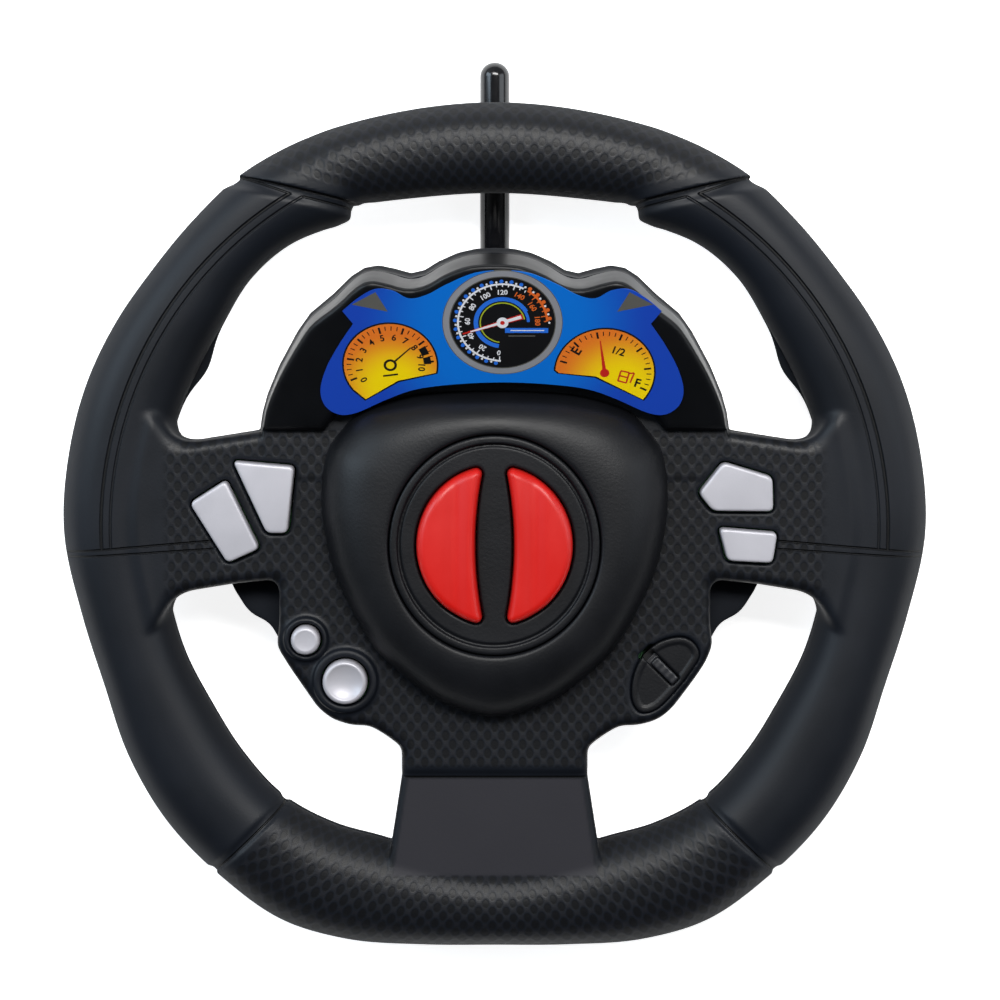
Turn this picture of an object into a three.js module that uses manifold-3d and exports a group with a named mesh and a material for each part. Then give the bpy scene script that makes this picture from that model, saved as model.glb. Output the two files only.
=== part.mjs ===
// Toy steering-wheel radio transmitter, lying on its back. Millimetres, +Z up, wheel top towards +Y.
import * as THREE from "three";
import { ParametricGeometry } from "three/addons/geometries/ParametricGeometry.js";
import { mergeVertices } from "three/addons/utils/BufferGeometryUtils.js";
import Module from "manifold-3d";

const wasm = await Module();
wasm.setup();

// ---------------------------------------------------------------- driving dimensions
const WHEEL_WIDTH = 180; // widest distance across the rim
const WHEEL_HEIGHT = 176.5; // rim bottom to rim top
const WALL = 2; // moulded wall thickness
const PARTING_Z = 17.5; // where the front and back shells meet
const PARTING_GAP = 0.2; // seam between the shells
const RIM_BACK_Z = 8; // lowest point of the rim tube
const DECK_TOP_Z = 27; // spokes, hub panel and the crest of the rim
const FIT = 0.3; // clearance round a button, lid or plug
const REST_GAP = 0.05; // between pieces that sit against each other
const BACK_FLOOR_Z = 9; // outside of the shallow back cover
const LEDGE_THICKNESS = 1.2; // top of the back cover's lobes
const STEM_STEP = 1.2; // the smooth plate on the lower spoke sits this far below the panel

const DASH_LEAN = THREE.MathUtils.degToRad(26); // slope of the instrument panel
const DASH_FOOT_Y = 18; // where the sloping face would meet DASH_FOOT_Z
const DASH_FOOT_Z = 28;
const DASH_DRAFT_X = 0.0022; // inward draft per millimetre of height
const DASH_DRAFT_Y = 0.0032;
const LABEL_THICKNESS = 0.4;
const LABEL_SHIFT = 1.5; // the sticker sits a little to the right

const PAD_HEIGHT = 11.2; // middle cushion above the deck
const BEZEL_RADIUS_X = 21.4;
const BEZEL_RADIUS_Y = 22.4;
const BEZEL_PLATE = 2.2;
const BEZEL_Y = -1.8;
const RED_RADIUS_X = 15.85;
const RED_RADIUS_Y = 16.2;
const RED_BAR_END = 2.6; // half the gap between the red buttons at their ends
const RED_BAR_MIDDLE = 4.0; // and half way along
const RED_RISE = 2.6; // red buttons above the bezel
const RED_TRAVEL = 1.5;
const KEY_TRAVEL = 1;
const KEY_RISE = 2; // silver keys above the deck
const FLANGE_LIP = 1; // retaining lip under each button
const FLANGE_THICKNESS = 0.8;
const STEM_RADIUS = 2;

const BOARD_Z = 20; // underside of the circuit boards
const BOARD_THICKNESS = 1.6;
const DOME_RADIUS = 2.6; // rubber return domes
const SWITCH_TRAVEL = 2;

const CELL_RADIUS = 7.2; // AA cells
const CELL_LENGTH = 49.4;
const CELL_NUB_RADIUS = 2.7;
const CELL_NUB_LENGTH = 1;
const CELL_GAP = 0.4;
const DOOR_THICKNESS = 1.8;
const CONTACT_ROOM = 5.2; // spring room past the end of each cell pair
const CONTACT_THICKNESS = 0.4;
const BOX_Y = -2; // battery box centre

const ANTENNA_RADIUS = 3.1;
const ANTENNA_Z = 4.3;
const ANTENNA_ROOT_Y = 27;
const ANTENNA_TIP_Y = 97;
const SCREW_HEAD_RADIUS = 2.6;
const SCREW_HEAD_HEIGHT = 1.8;
const SCREW_SHANK_RADIUS = 1.3;
const SCREW_FIT = 0.1; // running clearance round a screw shank
const WIRE_RADIUS = 0.6;

// ---------------------------------------------------------------- derived levels
const SX = WHEEL_WIDTH / 180;
const SY = WHEEL_HEIGHT / 176.5;
const DECK_UNDER_Z = DECK_TOP_Z - WALL;
const FRONT_LOW_Z = PARTING_Z + PARTING_GAP / 2;
const BACK_HIGH_Z = PARTING_Z - PARTING_GAP / 2;
const BOARD_TOP_Z = BOARD_Z + BOARD_THICKNESS;
const SEAT_Z = DECK_TOP_Z + PARTING_GAP; // underside of what stands on the deck
const BEZEL_TOP_Z = DECK_TOP_Z + PAD_HEIGHT;
const KEY_FLANGE_TOP_Z = DECK_UNDER_Z - REST_GAP;
const DOME_TOP_Z = KEY_FLANGE_TOP_Z - FLANGE_THICKNESS - REST_GAP;
const DOOR_TOP_Z = DOOR_THICKNESS;
const CELL_AXIS_Z = DOOR_TOP_Z + FIT + CELL_RADIUS;
const BOX_CEILING_Z = CELL_AXIS_Z + CELL_RADIUS + FIT;
const BOX_TOP_Z = BOX_CEILING_Z + 1.2;
const BOX_HALF_X = (CELL_LENGTH + CELL_NUB_LENGTH) / 2 + CONTACT_ROOM;
const BOX_HALF_Y = 2 * CELL_RADIUS + CELL_GAP / 2 + FIT;
const DOOR_LIP = 1.5; // the door opening is this much larger than the cell room
const BOX_SHEET = DOOR_LIP + 1.8; // from the cell room to the outside of the box
const BIG = 400;

// ---------------------------------------------------------------- small helpers
const MATERIALS = {
  shell: { color: 0x222229, roughness: 0.55, metalness: 0 },
  grip: { color: 0x1c1c21, roughness: 0.6, metalness: 0 },
  red: { color: 0xd41c16, roughness: 0.35, metalness: 0 },
  silver: { color: 0xcfced6, roughness: 0.38, metalness: 0 },
  label: { color: 0x1458bd, roughness: 0.4, metalness: 0 },
  gloss: { color: 0x0c0c0e, roughness: 0.15, metalness: 0 },
  rubber: { color: 0x9a9a92, roughness: 0.8, metalness: 0 },
  steel: { color: 0xb4b6b8, roughness: 0.3, metalness: 1 },
  board: { color: 0x2c6b3a, roughness: 0.5, metalness: 0 },
  copper: { color: 0xb06a3a, roughness: 0.4, metalness: 1 },
  cell: { color: 0x3f6fa8, roughness: 0.4, metalness: 0.3 },
  wireRed: { color: 0xb32020, roughness: 0.5, metalness: 0 },
  wireBlack: { color: 0x1b1b1b, roughness: 0.5, metalness: 0 },
};

const group = new THREE.Group();
group.name = "steering_transmitter";

// Plan positions follow the wheel's overall size; round fittings keep their own size.
const plan = ([x, y]) => [x * SX, y * SY];

function mirrored(half) {
  const right = half.map(plan);
  const left = right
    .filter(([x]) => Math.abs(x) > 1e-6)
    .map(([x, y]) => [-x, y])
    .reverse();
  return [...right, ...left];
}

function area(points) {
  let sum = 0;
  points.forEach(([x, y], i) => {
    const [nx, ny] = points[(i + 1) % points.length];
    sum += x * ny - nx * y;
  });
  return sum / 2;
}

// Moves every side of a closed outline inwards by d (outwards when d is negative).
function inset(points, d) {
  const loop = area(points) > 0 ? points : [...points].reverse();
  return loop.map((p, i) => {
    const a = loop[(i + loop.length - 1) % loop.length];
    const b = loop[(i + 1) % loop.length];
    const u = new THREE.Vector2(p[0] - a[0], p[1] - a[1]).normalize();
    const v = new THREE.Vector2(b[0] - p[0], b[1] - p[1]).normalize();
    const n = new THREE.Vector2(-u.y - v.y, u.x + v.x);
    const reach = (2 * d) / Math.max(n.lengthSq(), 1);
    return [p[0] + n.x * reach, p[1] + n.y * reach];
  });
}

function toManifold(geometry) {
  const bare = new THREE.BufferGeometry();
  bare.setAttribute("position", geometry.attributes.position);
  if (geometry.index) bare.setIndex(geometry.index);
  const welded = mergeVertices(bare, 1e-4);
  const index = welded.index.array;
  const triangles = [];
  for (let i = 0; i < index.length; i += 3) {
    const [a, b, c] = [index[i], index[i + 1], index[i + 2]];
    if (a !== b && b !== c && c !== a) triangles.push(a, b, c);
  }
  const mesh = new wasm.Mesh({
    numProp: 3,
    vertProperties: new Float32Array(welded.attributes.position.array),
    triVerts: new Uint32Array(triangles),
  });
  return new wasm.Manifold(mesh);
}

function fromManifold(solid) {
  const { vertProperties, triVerts, numProp } = solid.getMesh();
  const positions = new Float32Array((vertProperties.length / numProp) * 3);
  for (let i = 0; i < positions.length / 3; i += 1) {
    for (let k = 0; k < 3; k += 1) positions[3 * i + k] = vertProperties[numProp * i + k];
  }
  const geometry = new THREE.BufferGeometry();
  geometry.setAttribute("position", new THREE.BufferAttribute(positions, 3));
  geometry.setIndex(new THREE.BufferAttribute(new Uint32Array(triVerts), 1));
  geometry.computeVertexNormals();
  return geometry;
}

function add(name, solid, material) {
  const mesh = new THREE.Mesh(fromManifold(solid), new THREE.MeshStandardMaterial(MATERIALS[material]));
  mesh.name = name;
  group.add(mesh);
  return mesh;
}

function shapeOf(points) {
  return new THREE.Shape(points.map(([x, y]) => new THREE.Vector2(x, y)));
}

function slab(points, low, high, bevel = 0) {
  const depth = high - low - 2 * bevel;
  const geometry = new THREE.ExtrudeGeometry(shapeOf(points), {
    depth,
    bevelEnabled: bevel > 0,
    bevelThickness: bevel,
    bevelSize: bevel,
    bevelOffset: -bevel,
    bevelSegments: 2,
    curveSegments: 12,
  });
  return toManifold(geometry).translate([0, 0, low + bevel]);
}

function box(x0, x1, y0, y1, z0, z1) {
  const geometry = new THREE.BoxGeometry(x1 - x0, y1 - y0, z1 - z0);
  return toManifold(geometry).translate([(x0 + x1) / 2, (y0 + y1) / 2, (z0 + z1) / 2]);
}

function rod(x, y, low, high, radius, sides = 24) {
  const geometry = new THREE.CylinderGeometry(radius, radius, high - low, sides);
  return toManifold(geometry).rotate([90, 0, 0]).translate([x, y, (low + high) / 2]);
}

// A turned body from (radius, height) pairs, axis along +Z.
function turned(profile, sides = 24) {
  const points = profile.map(([r, z]) => new THREE.Vector2(r, z));
  return toManifold(new THREE.LatheGeometry(points, sides)).rotate([90, 0, 0]);
}

function tube(points, radius, closed = false, steps = 24, sides = 8) {
  const curve = new THREE.CatmullRomCurve3(
    points.map((p) => new THREE.Vector3(...p)),
    closed,
  );
  const section = new THREE.Shape().absarc(0, 0, radius, 0, 2 * Math.PI);
  const geometry = new THREE.ExtrudeGeometry(section, {
    steps,
    curveSegments: sides,
    bevelEnabled: false,
    extrudePath: curve,
  });
  return toManifold(geometry);
}

function union(solids) {
  return solids.reduce((sum, solid) => sum.add(solid));
}

const ellipse = (rx, ry, cx, cy, count) =>
  Array.from({ length: count }, (_, i) => {
    const a = (2 * Math.PI * i) / count;
    return [cx + rx * Math.cos(a), cy + ry * Math.sin(a)];
  });

function roundedRectangle(x0, x1, y0, y1, r, count = 5) {
  const corners = [
    [x1 - r, y1 - r, 0],
    [x0 + r, y1 - r, 1],
    [x0 + r, y0 + r, 2],
    [x1 - r, y0 + r, 3],
  ];
  return corners.flatMap(([cx, cy, quarter]) =>
    Array.from({ length: count }, (_, i) => {
      const a = (Math.PI / 2) * (quarter + i / (count - 1));
      return [cx + r * Math.cos(a), cy + r * Math.sin(a)];
    }),
  );
}

// ---------------------------------------------------------------- rim
// [angle from +X in degrees, inner radius, outer radius] for the right-hand half.
const RIM_STATIONS = [
  [-90, 71, 88.2],
  [-80, 70.2, 89.4],
  [-70, 69.6, 92.4],
  [-62, 71, 93.6],
  [-52, 72, 92.7],
  [-42, 71, 91.8],
  [-32, 69.9, 90],
  [-22, 69.9, 88.1],
  [-12, 69.6, 88.1],
  [0, 69.6, 90],
  [10, 69.5, 90.2],
  [20, 69.6, 90],
  [29, 68.6, 89.5],
  [37, 70.4, 89],
  [46, 72.4, 89.4],
  [56, 72.4, 90.4],
  [64, 71, 89.9],
  [74, 70.8, 88.7],
  [90, 69.5, 88.2],
];
const RIM_SLICES = 48;
const RIM_SIDES = 12;
const RIM_SQUARENESS = 2.4; // 2 is a true ellipse

function rimCurve(column) {
  const at = (degrees, radius) => {
    const a = THREE.MathUtils.degToRad(degrees);
    const [x, y] = plan([radius * Math.cos(a), radius * Math.sin(a)]);
    return new THREE.Vector3(x, y, 0);
  };
  const right = RIM_STATIONS.map((s) => at(s[0], s[column]));
  const left = RIM_STATIONS.slice(1, -1).reverse().map((s) => at(180 - s[0], s[column]));
  return new THREE.CatmullRomCurve3([...right, ...left], true);
}

const rimInner = rimCurve(1);
const rimOuter = rimCurve(2);

function rimSolid(thinning) {
  const middleZ = (RIM_BACK_Z + DECK_TOP_Z) / 2;
  const halfHeight = (DECK_TOP_Z - RIM_BACK_Z) / 2 - thinning;
  const power = (value) => Math.sign(value) * Math.abs(value) ** (2 / RIM_SQUARENESS);
  const surface = (u, v, target) => {
    const a = rimInner.getPoint(v % 1);
    const b = rimOuter.getPoint(v % 1);
    const across = b.clone().sub(a);
    const half = across.length() / 2 - thinning;
    const phi = -2 * Math.PI * u;
    const out = half * power(Math.cos(phi));
    target.copy(a).add(b).multiplyScalar(0.5).addScaledVector(across.normalize(), out);
    target.z = middleZ + halfHeight * power(Math.sin(phi));
  };
  return toManifold(new ParametricGeometry(surface, RIM_SIDES, RIM_SLICES));
}

const rimMiddle = (degrees) => {
  const i = RIM_STATIONS.findIndex((s) => s[0] >= degrees);
  const [a0, i0, o0] = RIM_STATIONS[Math.max(i - 1, 0)];
  const [a1, i1, o1] = RIM_STATIONS[i];
  const t = a1 === a0 ? 0 : (degrees - a0) / (a1 - a0);
  const r = ((i0 + o0) * (1 - t) + (i1 + o1) * t) / 2;
  const a = THREE.MathUtils.degToRad(degrees);
  return plan([r * Math.cos(a), r * Math.sin(a)]);
};

// ---------------------------------------------------------------- plan outlines
const SPOKE_HALF = [
  [0, 20.5],
  [49, 20.5],
  [74, 16.5],
  [74, -14.5],
  [65, -12.8],
  [54, -11],
  [44, -10],
  [0, -10],
];
const HUB_HALF = [
  [0, 12],
  [44.6, 12],
  [44.6, -19.5],
  [45.2, -24],
  [42.3, -28.7],
  [39, -33.5],
  [36.7, -36.9],
  [33.7, -39.3],
  [29.6, -40.6],
  [26, -40.6],
  [22.6, -42.6],
  [19.2, -45.2],
  [19, -51.5],
  [0, -51.5],
];
const STEM_HALF = [
  [0, -40],
  [18.8, -40],
  [19.3, -51],
  [23.5, -78],
  [0, -78],
];
const DASH_HALF = [
  [0, 30],
  [13.5, 29.4],
  [22, 28.4],
  [27.2, 27],
  [32.4, 22.6],
  [34.4, 19.8],
  [49, 19.8],
  [47.3, 28],
  [44.8, 34],
  [41, 41],
  [38.3, 44.8],
  [33.5, 48.8],
  [29.8, 52.4],
  [27, 54.2],
  [24, 54.6],
  [20.6, 54],
  [17.3, 53.1],
  [14.6, 53.8],
  [11.5, 55.6],
  [7.6, 57.3],
  [4, 58.1],
  [0, 58.3],
];
const DASH_DECK_HALF = [[0, 10], [47.8, 10], ...DASH_HALF.slice(6)];
const LABEL_HALF = [
  [0, 14.8],
  [9, 14.4],
  [17.4, 13.2],
  [23.5, 10.8],
  [29.5, 7.8],
  [33.2, 7.3],
  [36, 9.3],
  [36.9, 13],
  [35.6, 18],
  [32.9, 23.4],
  [29.9, 28.2],
  [32, 31.1],
  [28.8, 34],
  [25.4, 36],
  [21.9, 35.7],
  [18.6, 33.9],
  [15.1, 34.5],
  [11, 36.9],
  [5.5, 39.3],
  [0, 40],
];
const PAD_HALF = [
  [0, 29.1],
  [9, 28.9],
  [17.4, 28.1],
  [26.6, 25.3],
  [31.8, 20.6],
  [34.7, 15.4],
  [35.6, 6],
  [34.3, -3.5],
  [31.9, -11],
  [25.9, -22.4],
  [20.7, -28.1],
  [13.6, -33.8],
  [7.2, -36.8],
  [0, -38.4],
];
const BACK_HUB_HALF = [
  [0, 20],
  [46, 20],
  [54, 10],
  [55.4, -11],
  [53.3, -15],
  [51, -18],
  [46.9, -20.6],
  [44, -25],
  [40, -31],
  [36.5, -35.5],
  [33, -38.4],
  [29.6, -39.6],
  [24, -40],
  [18.4, -44.5],
  [0, -44.5],
];
const BOARD_HALF = [
  [0, 24],
  [38, 24],
  [41.4, 10],
  [41.4, -18],
  [36.5, -29.5],
  [32.5, -34.8],
  [26, -36.8],
  [15.5, -41],
  [0, -41],
];

const spokeOutline = mirrored(SPOKE_HALF);
const hubOutline = mirrored(HUB_HALF);
const stemOutline = mirrored(STEM_HALF);
const dashOutline = mirrored(DASH_HALF);
const dashDeckOutline = mirrored(DASH_DECK_HALF);
const padOutline = mirrored(PAD_HALF);
const backHubOutline = mirrored(BACK_HUB_HALF);
const boardOutline = mirrored(BOARD_HALF);

// ---------------------------------------------------------------- keys and buttons
const KEYS = {
  silver_button_left_outer: [
    [-62.7, 6],
    [-55.2, 10.8],
    [-48.4, -3.4],
    [-55, -6.4],
  ],
  silver_button_left_inner: [
    [-53.8, 14.7],
    [-41.1, 13.6],
    [-42.6, -0.2],
    [-46.9, -0.2],
  ],
  silver_button_right_upper: [
    [46.9, 14.5],
    [57.1, 11.4],
    [57.3, 4.3],
    [44.8, 4.4],
    [41.9, 8.1],
  ],
  silver_button_right_lower: [
    [46.1, 0.9],
    [58.2, -0.1],
    [57.2, -6.4],
    [47.9, -5.9],
  ],
};
const KEY_CORNER = 1.5;
const KEY_EDGE = 0.3;
const ROUND_KEYS = {
  round_button_large: { at: [-30.9, -31], radius: 4.6, boss: 6.7 },
  round_button_small: { at: [-39, -22.3], radius: 3, boss: 4.6 },
};
const BOSS_RISE = 0.9; // raised collar round each round button
const POWER_AT = [35.4, -29.6]; // oval switch plate
const POWER_TURN = 50; // degrees
const POWER_RADIUS_LONG = 9.1;
const POWER_RADIUS_SHORT = 5.4;
const POWER_PLATE = 1.2;
const POWER_SLOT_AT = [34.5, -28.2];
const POWER_SLOT_TURN = -45;
const POWER_SLOT_LENGTH = 8.6;
const POWER_SLOT_WIDTH = 2.4;
const POWER_KNOB_RISE = 1.6;

function roundCorners(points, radius, count = 2) {
  return points.flatMap((p, i) => {
    const a = points[(i + points.length - 1) % points.length];
    const b = points[(i + 1) % points.length];
    const toA = new THREE.Vector2(a[0] - p[0], a[1] - p[1]).setLength(radius);
    const toB = new THREE.Vector2(b[0] - p[0], b[1] - p[1]).setLength(radius);
    const start = new THREE.Vector2(p[0] + toA.x, p[1] + toA.y);
    const end = new THREE.Vector2(p[0] + toB.x, p[1] + toB.y);
    const curve = new THREE.QuadraticBezierCurve(start, new THREE.Vector2(...p), end);
    return curve.getPoints(count).map((q) => [q.x, q.y]);
  });
}

const centroid = (points) => {
  const sum = points.reduce((s, p) => [s[0] + p[0], s[1] + p[1]], [0, 0]);
  return [sum[0] / points.length, sum[1] / points.length];
};

const keyOutlines = Object.fromEntries(
  Object.entries(KEYS).map(([name, points]) => [name, roundCorners(points.map(plan), KEY_CORNER)]),
);

function halfMoon(side) {
  const bezelY = BEZEL_Y * SY;
  const start = Math.acos(RED_BAR_END / RED_RADIUS_X);
  const arc = Array.from({ length: 15 }, (_, i) => {
    const a = -start + (2 * start * i) / 14;
    return [RED_RADIUS_X * Math.cos(a), RED_RADIUS_Y * Math.sin(a)];
  });
  const reach = RED_RADIUS_Y * Math.sin(start);
  const bar = Array.from({ length: 7 }, (_, i) => {
    const t = 1 - (2 * (i + 1)) / 8;
    return [RED_BAR_MIDDLE - (RED_BAR_MIDDLE - RED_BAR_END) * t * t, reach * t];
  });
  const outline = [...arc, ...bar].map(([x, y]) => [side * x, y + bezelY]);
  return side > 0 ? outline : outline.reverse();
}

// ---------------------------------------------------------------- screws
const SCREWS = {
  case_screw_top_right: rimMiddle(54),
  case_screw_top_left: rimMiddle(54).map((v, i) => (i === 0 ? -v : v)),
  case_screw_bottom_right: rimMiddle(-48),
  case_screw_bottom_left: rimMiddle(-48).map((v, i) => (i === 0 ? -v : v)),
  case_screw_hub_right: plan([42.5, 31]),
  case_screw_hub_left: plan([-42.5, 31]),
  case_screw_stem: plan([0, -58]),
};
const POST_RADIUS = 4.2;
const SCREW_ENGAGE = 5.5; // screw length above the parting plane
const COUNTERBORE_FLOOR_Z = 12.5;

// ---------------------------------------------------------------- front shell
function taper(solid, factorX, factorY, baseY, baseZ) {
  return solid.warp((v) => {
    const h = v[2] - baseZ;
    v[0] *= 1 - factorX * h;
    v[1] = baseY + (v[1] - baseY) * (1 - factorY * h);
  });
}

const dashTaper = (solid) => taper(solid, DASH_DRAFT_X, DASH_DRAFT_Y, 20 * SY, PARTING_Z);

function aboveFrontLow(solid) {
  return solid.subtract(box(-BIG, BIG, -BIG, BIG, -BIG, FRONT_LOW_Z));
}

function frontSolid(thin) {
  const low = PARTING_Z - 2;
  const top = DECK_TOP_Z - thin;
  return union([
    rimSolid(thin),
    slab(inset(spokeOutline, thin), low, top),
    slab(inset(hubOutline, thin), low, top),
    slab(inset(stemOutline, thin), low, top - STEM_STEP),
    dashTaper(slab(inset(dashDeckOutline, thin), low, top)),
  ]);
}

function buildFrontShell() {
  let shell = frontSolid(0).subtract(frontSolid(WALL));
  const solid = frontSolid(0);
  const additions = Object.values(SCREWS).map(([x, y]) =>
    rod(x, y, PARTING_Z - 1, DECK_TOP_Z - 1, POST_RADIUS, 16).intersect(solid),
  );
  Object.values(ROUND_KEYS).forEach(({ at, boss }) => {
    const [x, y] = plan(at);
    additions.push(rod(x, y, DECK_UNDER_Z, DECK_TOP_Z + BOSS_RISE, boss, 24));
  });
  shell = aboveFrontLow(union([shell, ...additions]));
  const cuts = Object.values(SCREWS).map(([x, y]) =>
    rod(x, y, 0, PARTING_Z + SCREW_ENGAGE + FIT, SCREW_SHANK_RADIUS + SCREW_FIT, 12),
  );
  cuts.push(slab(ellipse(18.4, 18.8, 0, BEZEL_Y * SY, 32), DECK_UNDER_Z - 3, DECK_TOP_Z + 3));
  Object.values(keyOutlines).forEach((outline) => {
    cuts.push(slab(inset(outline, -FIT), DECK_UNDER_Z - 3, DECK_TOP_Z + 3));
  });
  Object.values(ROUND_KEYS).forEach(({ at, radius, boss }) => {
    const [x, y] = plan(at);
    cuts.push(rod(x, y, DECK_UNDER_Z - 3, DECK_TOP_Z + 3, radius + FIT, 24));
    cuts.push(rod(x, y, DECK_UNDER_Z - 3, DECK_UNDER_Z, roundKeyLip(radius, boss) + FIT, 24));
  });
  cuts.push(powerSlot(2 * FIT + 1.2));
  cuts.push(powerRecess());
  return shell.subtract(union(cuts));
}

// ---------------------------------------------------------------- power switch
function ovalOutline(grow) {
  const turn = THREE.MathUtils.degToRad(POWER_TURN);
  const [cx, cy] = plan(POWER_AT);
  return ellipse(POWER_RADIUS_LONG + grow, POWER_RADIUS_SHORT + grow, 0, 0, 28).map(([x, y]) => [
    cx + x * Math.cos(turn) - y * Math.sin(turn),
    cy + x * Math.sin(turn) + y * Math.cos(turn),
  ]);
}

function alongSlot(length, width) {
  const turn = THREE.MathUtils.degToRad(POWER_SLOT_TURN);
  const [cx, cy] = plan(POWER_SLOT_AT);
  const outline = roundedRectangle(-length / 2, length / 2, -width / 2, width / 2, width / 3);
  return outline.map(([x, y]) => [
    cx + x * Math.cos(turn) - y * Math.sin(turn),
    cy + x * Math.sin(turn) + y * Math.cos(turn),
  ]);
}

function powerSlot(grow) {
  const outline = alongSlot(POWER_SLOT_LENGTH + grow, POWER_SLOT_WIDTH + grow);
  return slab(outline, DECK_UNDER_Z - 3, DECK_TOP_Z + 5);
}

function powerRecess() {
  return slab(ovalOutline(0.15), DECK_TOP_Z - POWER_PLATE + 0.3, DECK_TOP_Z + 5);
}

function buildSwitchPlate() {
  const low = DECK_TOP_Z - POWER_PLATE + 0.3 + REST_GAP;
  return slab(ovalOutline(0), low, low + POWER_PLATE).subtract(powerSlot(0));
}

function shiftAlongSlot(distance) {
  const turn = THREE.MathUtils.degToRad(POWER_SLOT_TURN);
  return [distance * Math.cos(turn), distance * Math.sin(turn), 0];
}

// The knob rests at the lower-right end of its slot and slides up and to the left.
function buildPowerKnob() {
  const length = POWER_SLOT_LENGTH - SWITCH_TRAVEL - 2 * FIT;
  const width = POWER_SLOT_WIDTH - 2 * FIT;
  const knob = slab(alongSlot(length, width), BOARD_TOP_Z + 3.7, DECK_TOP_Z + POWER_KNOB_RISE);
  return knob.translate(shiftAlongSlot(SWITCH_TRAVEL / 2));
}

function buildSwitchBody() {
  return slab(alongSlot(8.4, 4.6), BOARD_TOP_Z + REST_GAP, DECK_UNDER_Z - 2 * REST_GAP);
}

// ---------------------------------------------------------------- back shell
function batteryBox(grow, low, high) {
  const halfX = BOX_HALF_X + grow;
  const halfY = BOX_HALF_Y + grow;
  const radius = Math.max(grow + 1.5, 1.5);
  return slab(roundedRectangle(-halfX, halfX, BOX_Y - halfY, BOX_Y + halfY, radius), low, high);
}

function backSolid(thin) {
  const high = PARTING_Z + 2;
  const low = BACK_FLOOR_Z + thin;
  return union([
    rimSolid(thin),
    slab(inset(spokeOutline, thin + 0.4), low + 1.5, high),
    slab(inset(backHubOutline, thin), low, high),
    slab(inset(stemOutline, thin + 0.4), low + 1.5, high),
    slab(inset(dashDeckOutline, thin + 0.4), low, high),
  ]);
}

const towerTopY = () => 51 * SY;

const EAR_RADIUS = 3.2; // screw ear on the battery door
const doorScrewAt = () => [0, BOX_Y - BOX_HALF_Y - 3.6];

function doorBlank(grow, low, high) {
  const ear = rod(...doorScrewAt(), low, high, EAR_RADIUS + grow, 24);
  return batteryBox(DOOR_LIP + grow, low, high).add(ear);
}

function buildBackShell() {
  const solid = backSolid(0);
  let shell = solid.subtract(backSolid(WALL));
  const posts = Object.values(SCREWS).map(([x, y]) =>
    rod(x, y, RIM_BACK_Z, PARTING_Z + 1, POST_RADIUS, 16).intersect(solid),
  );
  shell = union([shell, ...posts]).subtract(box(-BIG, BIG, -BIG, BIG, BACK_HIGH_Z, BIG));
  // ledge that closes the lobes standing out past the front shell
  const covered = [hubOutline, spokeOutline, dashDeckOutline].map((outline) =>
    slab(inset(outline, WALL), BACK_FLOOR_Z, PARTING_Z + 2),
  );
  const ledge = slab(inset(backHubOutline, REST_GAP), BACK_HIGH_Z - LEDGE_THICKNESS, BACK_HIGH_Z);
  shell = shell.add(ledge.subtract(union(covered)));
  const tower = box(-6.4, 6.4, 12, towerTopY(), 0.3, BACK_FLOOR_Z + 1);
  const screwBoss = rod(...doorScrewAt(), 0, BACK_FLOOR_Z + 1, EAR_RADIUS + 1.8, 24);
  shell = union([shell, batteryBox(BOX_SHEET, 0, BOX_TOP_Z), tower, screwBoss]);
  [
    [-37, 20],
    [37, 20],
    [-30, -27],
    [30, -27],
  ].forEach((at) => {
    const [x, y] = plan(at);
    shell = shell.add(rod(x, y, BACK_FLOOR_Z + 1, BOARD_Z - REST_GAP, 2.4, 12));
  });
  const cuts = Object.values(SCREWS).map(([x, y]) =>
    rod(x, y, -1, PARTING_Z + 2, SCREW_SHANK_RADIUS + SCREW_FIT, 12).add(
      rod(x, y, -1, COUNTERBORE_FLOOR_Z, SCREW_HEAD_RADIUS + FIT, 16),
    ),
  );
  cuts.push(batteryBox(0, DOOR_TOP_Z - 1, BOX_CEILING_Z));
  cuts.push(doorBlank(0, -1, DOOR_TOP_Z + REST_GAP));
  cuts.push(
    rod(0, 0, ANTENNA_ROOT_Y - 1, towerTopY() + 1, ANTENNA_RADIUS + FIT, 20)
      .rotate([-90, 0, 0])
      .translate([0, 0, ANTENNA_Z]),
  );
  cuts.push(box(-1.5, 1.5, ANTENNA_ROOT_Y - 2.6, ANTENNA_ROOT_Y + 2, ANTENNA_Z, BACK_FLOOR_Z + 3));
  // slots in the box ceiling for the two leads
  const slotX = BOX_HALF_X - 2.4;
  [-1, 1].forEach((side) => {
    const y = BOX_Y + side * (CELL_RADIUS + CELL_GAP / 2);
    cuts.push(box(slotX, slotX + 2, y - 1.2, y + 1.2, BOX_CEILING_Z - 1, BOX_TOP_Z + 1));
  });
  cuts.push(rod(...doorScrewAt(), 0, BACK_FLOOR_Z - 1, SCREW_SHANK_RADIUS + SCREW_FIT, 12));
  return shell.subtract(union(cuts));
}

// ---------------------------------------------------------------- battery door
function buildDoor() {
  const head = rod(...doorScrewAt(), -1, 1, SCREW_HEAD_RADIUS * 0.7 + FIT, 16);
  const hole = rod(...doorScrewAt(), -1, BIG, SCREW_SHANK_RADIUS + SCREW_FIT, 12);
  return doorBlank(-FIT, 0, DOOR_TOP_Z).subtract(head).subtract(hole);
}

function screwSolid(headRadius, headHeight, length, shankRadius) {
  const points = [
    [0, 0],
    [headRadius * 0.8, 0],
    [headRadius, headHeight * 0.45],
    [headRadius, headHeight],
    [shankRadius, headHeight],
    [shankRadius, length - 1],
    [0, length],
  ];
  const cross = union([box(-1.3, 1.3, -0.3, 0.3, -1, 0.8), box(-0.3, 0.3, -1.3, 1.3, -1, 0.8)]);
  return turned(points, 12).subtract(cross.scale([headRadius / 2.6, headRadius / 2.6, 1]));
}

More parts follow.
